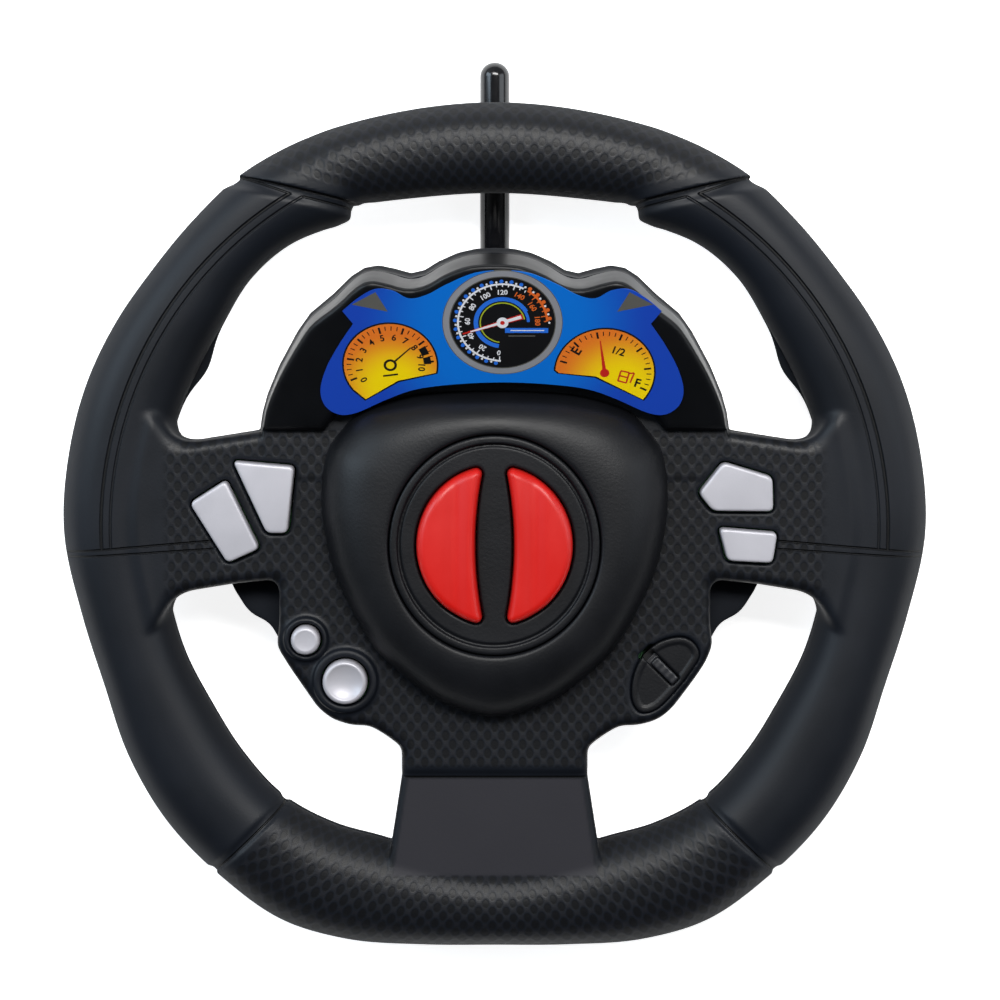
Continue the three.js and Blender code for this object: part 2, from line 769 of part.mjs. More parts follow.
// ---------------------------------------------------------------- cushion
const PAD_PROFILE = [
  [1, 0],
  [1, 0.14],
  [0.985, 0.34],
  [0.95, 0.54],
  [0.89, 0.73],
  [0.8, 0.88],
  [0.7, 0.97],
  [0.6, 1],
];

function pillow(outline, low, height) {
  const loop = area(outline) > 0 ? outline : [...outline].reverse();
  const curve = new THREE.CatmullRomCurve3(
    loop.map(([x, y]) => new THREE.Vector3(x, y, 0)),
    true,
  );
  const centreY = BEZEL_Y * SY;
  const levels = [[0, 0], ...PAD_PROFILE, [0, 1]];
  const surface = (u, v, target) => {
    const p = curve.getPoint(u % 1);
    const [scale, lift] = levels[Math.round(v * (levels.length - 1))];
    target.set(p.x * scale, centreY + (p.y - centreY) * scale, low + lift * height);
  };
  return toManifold(new ParametricGeometry(surface, 36, levels.length - 1));
}

function buildPad() {
  const outer = pillow(padOutline, SEAT_Z, PAD_HEIGHT);
  const inner = pillow(inset(padOutline, WALL), SEAT_Z - 1, PAD_HEIGHT - WALL + 1);
  const hole = slab(
    ellipse(BEZEL_RADIUS_X + 0.25, BEZEL_RADIUS_Y + 0.25, 0, BEZEL_Y * SY, 48),
    SEAT_Z - 1,
    SEAT_Z + PAD_HEIGHT + 5,
  );
  return outer.subtract(inner).subtract(hole);
}

function buildBezel() {
  const low = SEAT_Z;
  const high = BEZEL_TOP_Z;
  const centreY = BEZEL_Y * SY;
  const ratio = BEZEL_RADIUS_Y / BEZEL_RADIUS_X;
  const r = BEZEL_RADIUS_X;
  const profile = [
    [0, high - BEZEL_PLATE],
    [r - 1.7, high - BEZEL_PLATE],
    [r - 1.7, low],
    [r, low],
    [r, high - 0.5],
    [r - 0.5, high],
    [r - 1.3, high],
    [r - 1.8, high - 0.5],
    [0, high - 0.5],
  ];
  let bezel = turned(profile, 36).scale([1, ratio, 1]).translate([0, centreY, 0]);
  [-1, 1].forEach((side) => {
    bezel = bezel.subtract(slab(inset(halfMoon(side), -FIT), low, high + 5));
  });
  return bezel;
}

function buildRedButton(side) {
  const outline = halfMoon(side);
  const flangeHigh = BEZEL_TOP_Z - BEZEL_PLATE - REST_GAP;
  const flangeLow = flangeHigh - 1.2;
  const cap = slab(outline, flangeLow, BEZEL_TOP_Z + RED_RISE, 0.8);
  const flange = slab(inset(outline, -FLANGE_LIP), flangeLow, flangeHigh);
  const [x, y] = [side * 9.5, BEZEL_Y * SY];
  const stem = rod(x, y, DOME_TOP_Z + REST_GAP, flangeLow + 1, 3, 20);
  return union([cap, flange, stem]);
}

// ---------------------------------------------------------------- silver keys
function buildKey(outline) {
  const [x, y] = centroid(outline);
  const flangeLow = KEY_FLANGE_TOP_Z - FLANGE_THICKNESS;
  const cap = slab(outline, flangeLow, DECK_TOP_Z + KEY_RISE, KEY_EDGE);
  const flange = slab(inset(outline, -FLANGE_LIP * 0.8), flangeLow, KEY_FLANGE_TOP_Z);
  const stem = rod(x, y, DOME_TOP_Z + REST_GAP, flangeLow + 0.5, STEM_RADIUS, 16);
  return union([cap, flange, stem]);
}

function roundKeyLip(radius, boss) {
  return Math.min(radius + FLANGE_LIP, boss - 1);
}

function buildRoundKey({ at, radius, boss }, dish) {
  const [x, y] = plan(at);
  const top = DECK_TOP_Z + BOSS_RISE + KEY_RISE;
  const lip = roundKeyLip(radius, boss);
  const low = DOME_TOP_Z + REST_GAP;
  const flangeLow = KEY_FLANGE_TOP_Z - FLANGE_THICKNESS;
  const profile = [
    [0, low],
    [STEM_RADIUS, low],
    [STEM_RADIUS, flangeLow],
    [lip, flangeLow],
    [lip, KEY_FLANGE_TOP_Z],
    [radius, KEY_FLANGE_TOP_Z],
    [radius, top - 0.6],
    [radius - 0.6, top],
    [radius * 0.5, top - dish * 0.8],
    [0, top - dish],
  ];
  return turned(profile, 18).translate([x, y, 0]);
}

function buildDome(x, y) {
  const low = BOARD_TOP_Z + REST_GAP;
  const high = DOME_TOP_Z;
  const profile = [
    [0, low],
    [DOME_RADIUS, low],
    [DOME_RADIUS, low + 0.5],
    [DOME_RADIUS * 0.6, high],
    [0, high],
  ];
  return turned(profile, 12).translate([x, y, 0]);
}

// ---------------------------------------------------------------- dash housing
function dashPlane(lift) {
  // everything above the sloping face, raised by lift along the face normal
  const reach = BIG / 2;
  return box(-reach, reach, -reach, reach, 0, reach)
    .translate([0, 0, lift])
    .rotate([THREE.MathUtils.radToDeg(DASH_LEAN), 0, 0])
    .translate([0, DASH_FOOT_Y * SY, DASH_FOOT_Z]);
}

function dashSolid(thin) {
  const outline = inset(dashOutline, thin);
  const low = thin > 0 ? SEAT_Z - 1 : SEAT_Z;
  const body = dashTaper(slab(outline, low, DECK_TOP_Z + 40));
  return body.subtract(dashPlane(-thin));
}

function buildDash() {
  return dashSolid(0).subtract(dashSolid(WALL));
}

function buildLabel() {
  const outline = mirrored(LABEL_HALF).map(([x, y]) => [x + LABEL_SHIFT, y]);
  const sheet = slab(outline, REST_GAP, REST_GAP + LABEL_THICKNESS);
  return sheet
    .rotate([THREE.MathUtils.radToDeg(DASH_LEAN), 0, 0])
    .translate([0, DASH_FOOT_Y * SY, DASH_FOOT_Z]);
}

// ---------------------------------------------------------------- antenna
function buildAntenna() {
  const r = ANTENNA_RADIUS;
  const tip = ANTENNA_TIP_Y * SY;
  const profile = [
    [0, ANTENNA_ROOT_Y + 0.5],
    [r - 0.4, ANTENNA_ROOT_Y + 0.5],
    [r, ANTENNA_ROOT_Y + 0.9],
    [r, tip - 2.2],
    [r * 0.86, tip - 1],
    [r * 0.5, tip - 0.25],
    [0, tip],
  ];
  return turned(profile, 24).rotate([-90, 0, 0]).translate([0, 0, ANTENNA_Z]);
}

function buildAntennaCollar() {
  const y = towerTopY() + PARTING_GAP;
  const outer = ANTENNA_RADIUS + FIT + 0.8;
  const inner = ANTENNA_RADIUS + FIT;
  const profile = [
    [inner, y],
    [outer, y],
    [outer, y + 2],
    [outer - 0.5, y + 2.6],
    [inner, y + 2.6],
    [inner, y],
  ];
  return turned(profile, 24).rotate([-90, 0, 0]).translate([0, 0, ANTENNA_Z]);
}

// ---------------------------------------------------------------- battery parts
const rowY = (side) => BOX_Y + side * (CELL_RADIUS + CELL_GAP / 2);

// side -1 is the lower cell, which points the other way.
function buildCell(side) {
  const half = (CELL_LENGTH + CELL_NUB_LENGTH) / 2;
  const profile = [
    [0, -half],
    [CELL_RADIUS - 0.8, -half],
    [CELL_RADIUS, -half + 0.6],
    [CELL_RADIUS, half - CELL_NUB_LENGTH - 0.6],
    [CELL_RADIUS - 0.8, half - CELL_NUB_LENGTH],
    [CELL_NUB_RADIUS, half - CELL_NUB_LENGTH],
    [CELL_NUB_RADIUS, half],
    [0, half],
  ];
  return turned(profile, 24)
    .rotate([0, side > 0 ? 90 : -90, 0])
    .translate([0, rowY(side), CELL_AXIS_Z]);
}

function springAlongX(fromX, toX, y) {
  const turns = 3;
  const steps = 6;
  const points = Array.from({ length: turns * steps + 1 }, (_, i) => {
    const t = i / (turns * steps);
    const a = 2 * Math.PI * turns * t;
    const r = 3.4 - 1.2 * t;
    return [fromX + (toX - fromX) * t, y + r * Math.cos(a), CELL_AXIS_Z + r * Math.sin(a)];
  });
  return tube(points, 0.35, false, turns * steps, 3);
}

function contactPlate(x, y, halfWidth) {
  const t = CONTACT_THICKNESS / 2;
  return box(x - t, x + t, y - halfWidth, y + halfWidth, DOOR_TOP_Z + 1.5, BOX_CEILING_Z - 0.6);
}

const contactX = BOX_HALF_X - 0.3 - CONTACT_THICKNESS / 2;
const cellEndX = (CELL_LENGTH + CELL_NUB_LENGTH) / 2;

function springContact(side, y) {
  const plate = contactPlate(side * contactX, y, 5.4);
  return plate.add(springAlongX(side * (contactX - 0.1), side * (cellEndX + 0.5), y));
}

// a pressed plate with a bump that reaches the cell's button
function bumpContact(side, y) {
  const length = contactX - cellEndX - 0.2;
  const bump = new THREE.CylinderGeometry(1.6, 4.4, length, 16);
  const solid = toManifold(bump)
    .rotate([0, 0, side > 0 ? 90 : -90])
    .translate([side * (contactX - length / 2), y, CELL_AXIS_Z]);
  return contactPlate(side * contactX, y, 5.4).add(solid);
}

// ---------------------------------------------------------------- circuit boards
function buildMainBoard() {
  let board = slab(boardOutline, BOARD_Z, BOARD_TOP_Z);
  Object.values(SCREWS).forEach(([x, y]) => {
    board = board.subtract(rod(x, y, BOARD_Z - 1, BOARD_TOP_Z + 1, POST_RADIUS + 0.6, 16));
  });
  return board;
}

function buildKeyBoard(side) {
  const outline = roundedRectangle(42.2, 62.5, -9, 16.5, 1.5).map(([x, y]) => plan([side * x, y]));
  const board = slab(side > 0 ? outline : outline.reverse(), BOARD_Z, BOARD_TOP_Z);
  return board.intersect(slab(inset(spokeOutline, WALL + REST_GAP), BOARD_Z - 1, BOARD_TOP_Z + 1));
}

function boardBox(x, y, width, depth, height, under) {
  const [cx, cy] = plan([x, y]);
  const low = under ? BOARD_Z - REST_GAP - height : BOARD_TOP_Z + REST_GAP;
  return box(cx - width / 2, cx + width / 2, cy - depth / 2, cy + depth / 2, low, low + height);
}

function buildLoadingCoil(x, y) {
  const [cx, cy] = plan([x, y]);
  const low = BOARD_TOP_Z + REST_GAP;
  const height = DECK_UNDER_Z - FIT - REST_GAP - low;
  return turned(
    [
      [0, 0],
      [2.1, 0],
      [2.1, 0.6],
      [1.8, 0.9],
      [1.8, height - 0.9],
      [2.1, height - 0.6],
      [2.1, height],
      [0, height],
    ],
    16,
  ).translate([cx, cy, low]);
}

// ---------------------------------------------------------------- assembly
add("front_shell", buildFrontShell(), "shell");
add("back_shell", buildBackShell(), "shell");
add("hub_pad", buildPad(), "shell");
add("button_bezel", buildBezel(), "shell");
add("dash_housing", buildDash(), "shell");
add("dash_label", buildLabel(), "label");
add("red_button_left", buildRedButton(-1), "red");
add("red_button_right", buildRedButton(1), "red");
Object.entries(keyOutlines).forEach(([name, outline]) => {
  add(name, buildKey(outline), "silver");
});
add("round_button_large", buildRoundKey(ROUND_KEYS.round_button_large, 1), "silver");
add("round_button_small", buildRoundKey(ROUND_KEYS.round_button_small, 0.2), "silver");
add("switch_plate", buildSwitchPlate(), "shell");
add("power_switch_knob", buildPowerKnob(), "shell");
add("power_switch_body", buildSwitchBody(), "steel");
add("antenna", buildAntenna(), "gloss");
add("antenna_collar", buildAntennaCollar(), "gloss");
add("battery_door", buildDoor(), "shell");

const doorScrewLength = BACK_FLOOR_Z - 2;
const [doorX, doorY] = doorScrewAt();
const doorScrew = screwSolid(SCREW_HEAD_RADIUS * 0.7, 0.8, doorScrewLength, SCREW_SHANK_RADIUS);
add("battery_door_screw", doorScrew.translate([doorX, doorY, 0.1 - REST_GAP]), "steel");
Object.entries(SCREWS).forEach(([name, [x, y]]) => {
  const low = COUNTERBORE_FLOOR_Z - SCREW_HEAD_HEIGHT - REST_GAP;
  const length = PARTING_Z + SCREW_ENGAGE - low;
  const solid = screwSolid(SCREW_HEAD_RADIUS, SCREW_HEAD_HEIGHT, length, SCREW_SHANK_RADIUS);
  add(name, solid.translate([x, y, low]), "steel");
});

add("battery_cell_upper", buildCell(1), "cell");
add("battery_cell_lower", buildCell(-1), "cell");
// the upper cell's button faces right and the lower cell's faces left
add("terminal_positive", bumpContact(1, rowY(1)), "steel");
add("terminal_negative", springContact(1, rowY(-1)), "steel");
const bridge = springContact(-1, rowY(1))
  .add(bumpContact(-1, rowY(-1)))
  .add(contactPlate(-contactX, BOX_Y, 5));
add("contact_bridge", bridge, "steel");

add("main_board", buildMainBoard(), "board");
add("key_board_left", buildKeyBoard(-1), "board");
add("key_board_right", buildKeyBoard(1), "board");
add("control_chip", boardBox(0, -31, 10, 4.2, 2, false), "gloss");
add("crystal_can", boardBox(14, 15.5, 8, 3.4, 2.6, false), "steel");
add("tuning_coil_can", boardBox(-14, 16.5, 5, 5, 2.8, false), "steel");
add("loading_coil", buildLoadingCoil(0, 21), "copper");

const domes = {
  dome_red_left: [-9.5, BEZEL_Y * SY],
  dome_red_right: [9.5, BEZEL_Y * SY],
};
Object.entries(keyOutlines).forEach(([name, outline]) => {
  domes[name.replace("silver_button", "dome_silver")] = centroid(outline);
});
Object.entries(ROUND_KEYS).forEach(([name, { at }]) => {
  domes[name.replace("round_button", "dome_round")] = plan(at);
});
Object.entries(domes).forEach(([name, [x, y]]) => {
  add(name, buildDome(x, y), "rubber");
});

// leads: from the terminals through the ceiling slots, from the boards, and from the antenna root
const slotMiddleX = BOX_HALF_X - 1.4;
const leadTop = BOARD_Z - WIRE_RADIUS - REST_GAP;
const leadLow = BOX_CEILING_Z - 0.6 + FIT + 0.1;
[
  ["lead_positive", 1, "wireRed"],
  ["lead_negative", -1, "wireBlack"],
].forEach(([name, side, material]) => {
  const y = rowY(side);
  const points = [
    [slotMiddleX, y, leadLow],
    [slotMiddleX, y, BOX_TOP_Z + 0.1],
    [slotMiddleX + 1.6, y + side * 1.5, leadTop - 0.1],
    [slotMiddleX + 2.4, y + side * 4, leadTop - 0.1],
  ];
  add(name, tube(points, WIRE_RADIUS, false, 8, 5), material);
});
[-1, 1].forEach((side) => {
  const inner = 40 * SX * side;
  const outer = 43.6 * SX * side;
  const low = BOARD_Z - WIRE_RADIUS - REST_GAP - 0.1;
  const points = [
    [inner, 4 * SY, low],
    [(inner + outer) / 2, 5.5 * SY, low - 0.7],
    [outer, 4 * SY, low],
  ];
  add(side < 0 ? "key_lead_left" : "key_lead_right", tube(points, WIRE_RADIUS, false, 6, 5), "wireBlack");
});
const antennaLead = [
  [0, ANTENNA_ROOT_Y - WIRE_RADIUS + 0.25, ANTENNA_Z + 1],
  [0, ANTENNA_ROOT_Y - WIRE_RADIUS, ANTENNA_Z + 5],
  [0, ANTENNA_ROOT_Y - 1.5, BACK_FLOOR_Z + 5],
  [0, 23 * SY, leadTop - 0.1],
];
add("antenna_lead", tube(antennaLead, WIRE_RADIUS, false, 8, 5), "wireBlack");

export default group;
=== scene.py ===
"""Toy steering-wheel radio transmitter, lying face up on its battery box.

All lengths are in millimetres until mesh_piece places them, and heights are above the table.
"""

import math

import bmesh
import bpy
import numpy as np
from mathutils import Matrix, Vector


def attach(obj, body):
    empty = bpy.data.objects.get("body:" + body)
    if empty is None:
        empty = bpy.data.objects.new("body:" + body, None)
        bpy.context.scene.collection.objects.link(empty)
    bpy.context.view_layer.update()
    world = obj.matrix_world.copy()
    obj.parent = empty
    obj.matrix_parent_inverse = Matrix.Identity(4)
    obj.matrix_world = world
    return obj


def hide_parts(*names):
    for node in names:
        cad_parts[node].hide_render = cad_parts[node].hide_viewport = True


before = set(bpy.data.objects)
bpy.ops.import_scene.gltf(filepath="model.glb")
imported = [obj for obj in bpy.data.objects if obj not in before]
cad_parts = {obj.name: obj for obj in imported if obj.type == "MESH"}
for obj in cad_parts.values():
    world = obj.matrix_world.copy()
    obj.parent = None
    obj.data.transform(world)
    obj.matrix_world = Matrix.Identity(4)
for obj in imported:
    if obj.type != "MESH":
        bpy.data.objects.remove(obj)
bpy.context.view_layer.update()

MM = 0.001
COARSE = 1.0  # mesh step multiplier for a first look

# ------------------------------------------------------------------ levels shared with the frame
RIM_MIDDLE_Z = 17.5
RIM_HALF_DEPTH = 9.5
PARTING_Z = 17.5
DECK_Z = 27.0
DECK_UNDER_Z = 25.0
SEAT_Z = 27.2
STEM_Z = 25.8
BACK_FLOOR_Z = 9.0
PAD_HEIGHT = 11.2
BEZEL_Y = -1.8
BEZEL_TOP = 38.2
DASH_LEAN = math.radians(26)
DASH_FOOT = (18.0, 28.0)  # y and z where the sloping face would start
DASH_DRAFT = 0.11  # wall leans in this much for each millimetre of height
ANTENNA_Z = 4.3
ANTENNA_RADIUS = 3.1
BOX_HALF = (30.4, 14.9)  # room for the cells
BOX_Y = -2.0
DOOR_EAR = (0, BOX_Y - BOX_HALF[1] - 3.6)  # centre of the lug that takes the door screw
KEY_FOOT_Z = 25.3  # the hidden feet of the keys stop above their rubber domes
COWL_TOP_Z = 45.85
DEEP_Z, OPEN_Z = 20.0, 32.0  # wells in the deck run between these, well past both of its faces
TOP_GRIP_LINE = (60.3, 0.235)  # the top grip lies above y = a + b|x| at the middle of the rim
TOP_GRIP_TIP = 0.087  # and its end leans up this much for each millimetre of height
LOW_GRIP_LINE = (-15.85, -0.97)  # the bottom grip lies below this one


# ------------------------------------------------------------------ outlines and fields
def mirrored(half):
    """A closed outline from its right-hand half, listed from one end of the centre line to the other."""
    right = [tuple(p) for p in half]
    left = [(-x, y) for x, y in reversed(right) if abs(x) > 1e-6]
    return right + left


def spline(a, b, c, d, t):
    """The smooth run from b to c, with a before them and d after."""
    return 0.5 * (2 * b + (c - a) * t + (2 * a - 5 * b + 4 * c - d) * t**2 + (3 * b - a - 3 * c + d) * t**3)


def flowing(points, steps=6):
    """A closed smooth curve through the points."""
    p = np.asarray(points, float)
    a, b, c, d = np.roll(p, 1, 0), p, np.roll(p, -1, 0), np.roll(p, -2, 0)
    t = (np.arange(steps) / steps)[None, :, None]
    a, b, c, d = (q[:, None, :] for q in (a, b, c, d))
    return spline(a, b, c, d, t).reshape(-1, 2)


def bend(start, corner, end, steps):
    """Points of the arc-like curve that replaces a corner."""
    return [(1 - t) ** 2 * start + 2 * t * (1 - t) * corner + t**2 * end for t in np.linspace(0, 1, steps)]


def rounded(points, radius, steps=6):
    """The outline with each corner replaced by an arc-like bend."""
    p = np.asarray(points, float)
    out = []
    for i, corner in enumerate(p):
        before, after = p[i - 1] - corner, p[(i + 1) % len(p)] - corner
        start = corner + before / np.linalg.norm(before) * radius
        end = corner + after / np.linalg.norm(after) * radius
        out += bend(start, corner, end, steps)
    return np.array(out)


def outline_field(points):
    """Distance to a closed outline in plan, negative inside."""
    a = np.asarray(points, float)
    b = np.roll(a, -1, 0)

    def distance(x, y):
        x, y = np.broadcast_arrays(x, y)
        nearest = np.full(x.shape, 1e9)
        inside = np.zeros(x.shape, bool)
        for (ax, ay), (bx, by) in zip(a, b):
            ex, ey = bx - ax, by - ay
            t = np.clip(((x - ax) * ex + (y - ay) * ey) / (ex * ex + ey * ey + 1e-12), 0, 1)
            nearest = np.minimum(nearest, (x - ax - t * ex) ** 2 + (y - ay - t * ey) ** 2)
            if ay != by:
                inside ^= ((ay > y) != (by > y)) & (x < (bx - ax) * (y - ay) / (by - ay) + ax)
        return np.where(inside, -np.sqrt(nearest), np.sqrt(nearest))

    return distance


def blend(a, b, k):
    """Union of two fields with a fillet of about k."""
    h = np.maximum(k - np.abs(a - b), 0) / k
    return np.minimum(a, b) - h * h * k / 4


def cut(a, b, k=0.4):
    """Field a with field b taken out, the edge eased by about k."""
    return -blend(-a, b, k)


def slab(d, z, low, high, edge):
    """A plate with plan field d between two heights, its edges rounded."""
    side = d + edge
    rise = np.abs(z - (low + high) / 2) - (high - low) / 2 + edge
    return np.hypot(np.maximum(side, 0), np.maximum(rise, 0)) - edge + np.minimum(np.maximum(side, rise), 0)


def ease(value, start, end):
    """0 at start and 1 at end, easing at both; start may be the larger."""
    t = np.clip((value - start) / (end - start), 0, 1)
    return t * t * (3 - 2 * t)


def disc(x, y, centre, radius):
    """Plan field of a circle."""
    return np.hypot(x - centre[0], y - centre[1]) - radius


def oval(x, y, centre, radii):
    """Plan field of an ellipse."""
    rho = np.hypot((x - centre[0]) / radii[0], (y - centre[1]) / radii[1])
    return (rho - 1) * (radii[0] + radii[1]) / 2


def block(x, y, centre, half, corner):
    """Plan field of a rectangle with rounded corners."""
    qx = np.abs(x - centre[0]) - half[0] + corner
    qy = np.abs(y - centre[1]) - half[1] + corner
    return np.hypot(np.maximum(qx, 0), np.maximum(qy, 0)) - corner + np.minimum(np.maximum(qx, qy), 0)


# ------------------------------------------------------------------ meshes from fields
CORNERS = np.array([(i, j, k) for i in (0, 1) for j in (0, 1) for k in (0, 1)])
EDGES = [(a, b) for a in range(8) for b in range(a + 1, 8) if np.abs(CORNERS[a] - CORNERS[b]).sum() == 1]


def skin(values):
    """Vertices in grid units and quads of the zero surface of a 3-D array."""
    inside = values < 0
    count = np.zeros(tuple(n - 1 for n in values.shape), np.int8)
    for i, j, k in CORNERS:
        count += inside[i : i + count.shape[0], j : j + count.shape[1], k : k + count.shape[2]]
    cells = np.argwhere((count > 0) & (count < 8))
    number = np.full(count.shape, -1, np.int64)
    number[tuple(cells.T)] = np.arange(len(cells))
    corner_values = [values[tuple((cells + c).T)] for c in CORNERS]
    total = np.zeros((len(cells), 3))
    crossings = np.zeros(len(cells))
    for a, b in EDGES:
        fa, fb = corner_values[a], corner_values[b]
        crossed = (fa < 0) != (fb < 0)
        t = np.where(crossed, fa / np.where(crossed, fa - fb, 1), 0)
        total += np.where(crossed[:, None], CORNERS[a] + t[:, None] * (CORNERS[b] - CORNERS[a]), 0)
        crossings += crossed
    vertices = cells + total / crossings[:, None]
    quads = []
    for axis in range(3):
        u, v = (axis + 1) % 3, (axis + 2) % 3
        step = np.eye(3, dtype=int)
        first = [slice(None)] * 3
        second = [slice(None)] * 3
        first[axis], second[axis] = slice(0, -1), slice(1, None)
        changed = inside[tuple(first)] != inside[tuple(second)]
        at = np.argwhere(changed)
        at = at[(at[:, u] > 0) & (at[:, v] > 0) & (at[:, u] < count.shape[u]) & (at[:, v] < count.shape[v])]
        ring = [at - step[u] - step[v], at - step[v], at, at - step[u]]
        quad = np.stack([number[tuple(c.T)] for c in ring], 1)
        leaving = inside[tuple(at.T)]
        quads.append(np.where(leaving[:, None], quad, quad[:, ::-1]))
    return vertices, np.concatenate(quads)


def mould(name, field, low, high, step):
    """A closed mesh of the solid where field(x, y, z) is negative, between two corners."""
    step *= COARSE
    axes = [np.arange(a - 1.5 * step, b + 2.5 * step, step) for a, b in zip(low, high)]
    values = field(axes[0][:, None, None], axes[1][None, :, None], axes[2][None, None, :])
    vertices, quads = skin(values)
    start = np.array([a[0] for a in axes])
    points = start + vertices * step
    nudge, steepest_fall, reach = 0.08, 0.25, 0.6 * step
    for _ in range(2):  # settle the vertices on the surface
        here = field(*points.T)
        slope = np.stack([field(*(points + nudge * np.eye(3)[k]).T) - here for k in range(3)], 1) / nudge
        move = here[:, None] * slope / np.maximum((slope**2).sum(1), steepest_fall)[:, None]
        points -= np.clip(move, -reach, reach)
    return mesh_piece(name, points, quads)


def mesh_piece(name, points, faces):
    """A smooth-shaded object from millimetre points and faces."""
    mesh = bpy.data.meshes.new(name)
    points = np.asarray(points) * MM
    if isinstance(faces, np.ndarray):
        size = faces.shape[1]
        mesh.vertices.add(len(points))
        mesh.vertices.foreach_set("co", points.ravel())
        mesh.loops.add(faces.size)
        mesh.loops.foreach_set("vertex_index", faces.ravel())
        mesh.polygons.add(len(faces))
        mesh.polygons.foreach_set("loop_start", np.arange(0, faces.size, size))
        mesh.polygons.foreach_set("loop_total", np.full(len(faces), size))
        mesh.update(calc_edges=True)
    else:
        mesh.from_pydata([tuple(p) for p in points], [], faces)
    mesh.validate()
    mesh.polygons.foreach_set("use_smooth", np.ones(len(mesh.polygons), bool))
    piece = bpy.data.objects.new(name, mesh)
    bpy.context.scene.collection.objects.link(piece)
    return piece


def vertices_of(piece):
    """Its vertices in millimetres, one row each."""
    out = np.empty(len(piece.data.vertices) * 3)
    piece.data.vertices.foreach_get("co", out)
    return out.reshape(-1, 3) / MM


def remember(piece, name, values):
    """Stores one number or one vector for each vertex."""
    values = np.asarray(values, float)
    kind = "FLOAT" if values.ndim == 1 else "FLOAT_VECTOR"
    layer = piece.data.attributes.new(name, kind, "POINT")
    layer.data.foreach_set("value" if values.ndim == 1 else "vector", values.ravel())


def face_outwards(piece, weld=None):
    """Turns every face outwards, after welding points closer than weld metres."""
    bm = bmesh.new()
    bm.from_mesh(piece.data)
    if weld:
        bmesh.ops.remove_doubles(bm, verts=bm.verts, dist=weld)
    bmesh.ops.recalc_face_normals(bm, faces=bm.faces)
    bm.to_mesh(piece.data)
    bm.free()


def plain_shell(piece):
    """A shell piece with no dimples and no paler plate."""
    count = len(piece.data.vertices)
    remember(piece, "grain", np.zeros((count, 3)))
    remember(piece, "dimpled", np.zeros(count))
    remember(piece, "plate", np.zeros(count))


def turned(name, profile, centre, sides=96, along="z"):
    """A turned piece from (radius, height) pairs, closed on its axis."""
    rings = []
    angles = np.linspace(0, 2 * np.pi, sides, endpoint=False)
    for radius, height in profile:
        rings.append(np.stack([radius * np.cos(angles), radius * np.sin(angles), np.full(sides, height)], 1))
    points = np.concatenate(rings)
    faces = []
    for r in range(len(profile) - 1):
        for i in range(sides):
            j = (i + 1) % sides
            faces.append((r * sides + i, r * sides + j, (r + 1) * sides + j, (r + 1) * sides + i))
    if along == "y":
        points = points[:, [0, 2, 1]] * np.array([-1, 1, 1])
    piece = mesh_piece(name, points + np.asarray(centre), faces)
    face_outwards(piece, weld=1e-7)
    return piece


def crisp(profile, radius=0.35, steps=4):
    """A turning profile with its inner corners eased."""
    p = [np.asarray(q, float) for q in profile]
    out = [p[0]]
    for i in range(1, len(p) - 1):
        before, after = p[i - 1] - p[i], p[i + 1] - p[i]
        reach = min(radius, 0.45 * np.linalg.norm(before), 0.45 * np.linalg.norm(after))
        start = p[i] + before / np.linalg.norm(before) * reach
        end = p[i] + after / np.linalg.norm(after) * reach
        out += bend(start, p[i], end, steps)
    return out + [p[-1]]


# ------------------------------------------------------------------ materials
def linear(hex_colour):
    """An sRGB hex colour as linear RGBA."""
    parts = [int(hex_colour[i : i + 2], 16) / 255 for i in (1, 3, 5)]
    return tuple(c / 12.92 if c <= 0.04045 else ((c + 0.055) / 1.055) ** 2.4 for c in parts) + (1.0,)


MATH, RANGE, VECTOR = "ShaderNodeMath", "ShaderNodeMapRange", "ShaderNodeVectorMath"
NOISE, MIX, ATTRIBUTE = "ShaderNodeTexNoise", "ShaderNodeMix", "ShaderNodeAttribute"


def node(tree, kind, links=None, output=0, **settings):
    """Adds a node with its settings, gives each input a value or a link, and returns one output."""
    made = tree.nodes.new(kind)
    for key, value in settings.items():
        setattr(made, key, value)
    for key, value in (links or {}).items():
        if isinstance(value, bpy.types.NodeSocket):
            tree.links.new(value, made.inputs[key])
        else:
            made.inputs[key].default_value = value
    return made.outputs[output] if made.outputs else made


def new_material(name, ior, **values):
    """A material with one Principled shader; returns it, its tree and a function that joins sockets to it."""
    material = bpy.data.materials.new(name)
    material.use_nodes = True
    tree = material.node_tree
    tree.nodes.clear()
    shader = tree.nodes.new("ShaderNodeBsdfPrincipled")
    node(tree, "ShaderNodeOutputMaterial", {"Surface": shader.outputs[0]})
    shader.inputs["IOR"].default_value = ior
    for key, value in values.items():
        shader.inputs[key.replace("_", " ")].default_value = value

    def join(**sockets):
        for key, socket in sockets.items():
            tree.links.new(socket, shader.inputs[key.replace("_", " ")])

    return material, tree, join


def on_object(tree):
    """Position on the object in millimetres: the vector, then x, y and z."""
    coordinates = node(tree, "ShaderNodeTexCoord", output=3)
    where = node(tree, VECTOR, {0: coordinates, 3: 1000.0}, operation="SCALE")
    split = tree.nodes.new("ShaderNodeSeparateXYZ")
    tree.links.new(where, split.inputs[0])
    return where, split.outputs[0], split.outputs[1], split.outputs[2]


DIMPLE_PITCH = (2.9, 3.7)  # across and along one staggered row
DIMPLE_HALF = (0.8, 1.22)
DIMPLE_DEPTH = 0.03
NET_RISE = 0.012
SEAM_DEPTH = 0.6
GRAIN_DEPTH = 0.014
GRAIN_SIZE = 0.5
CLOUD_SIZE = 16.0  # soft patches of handling wear


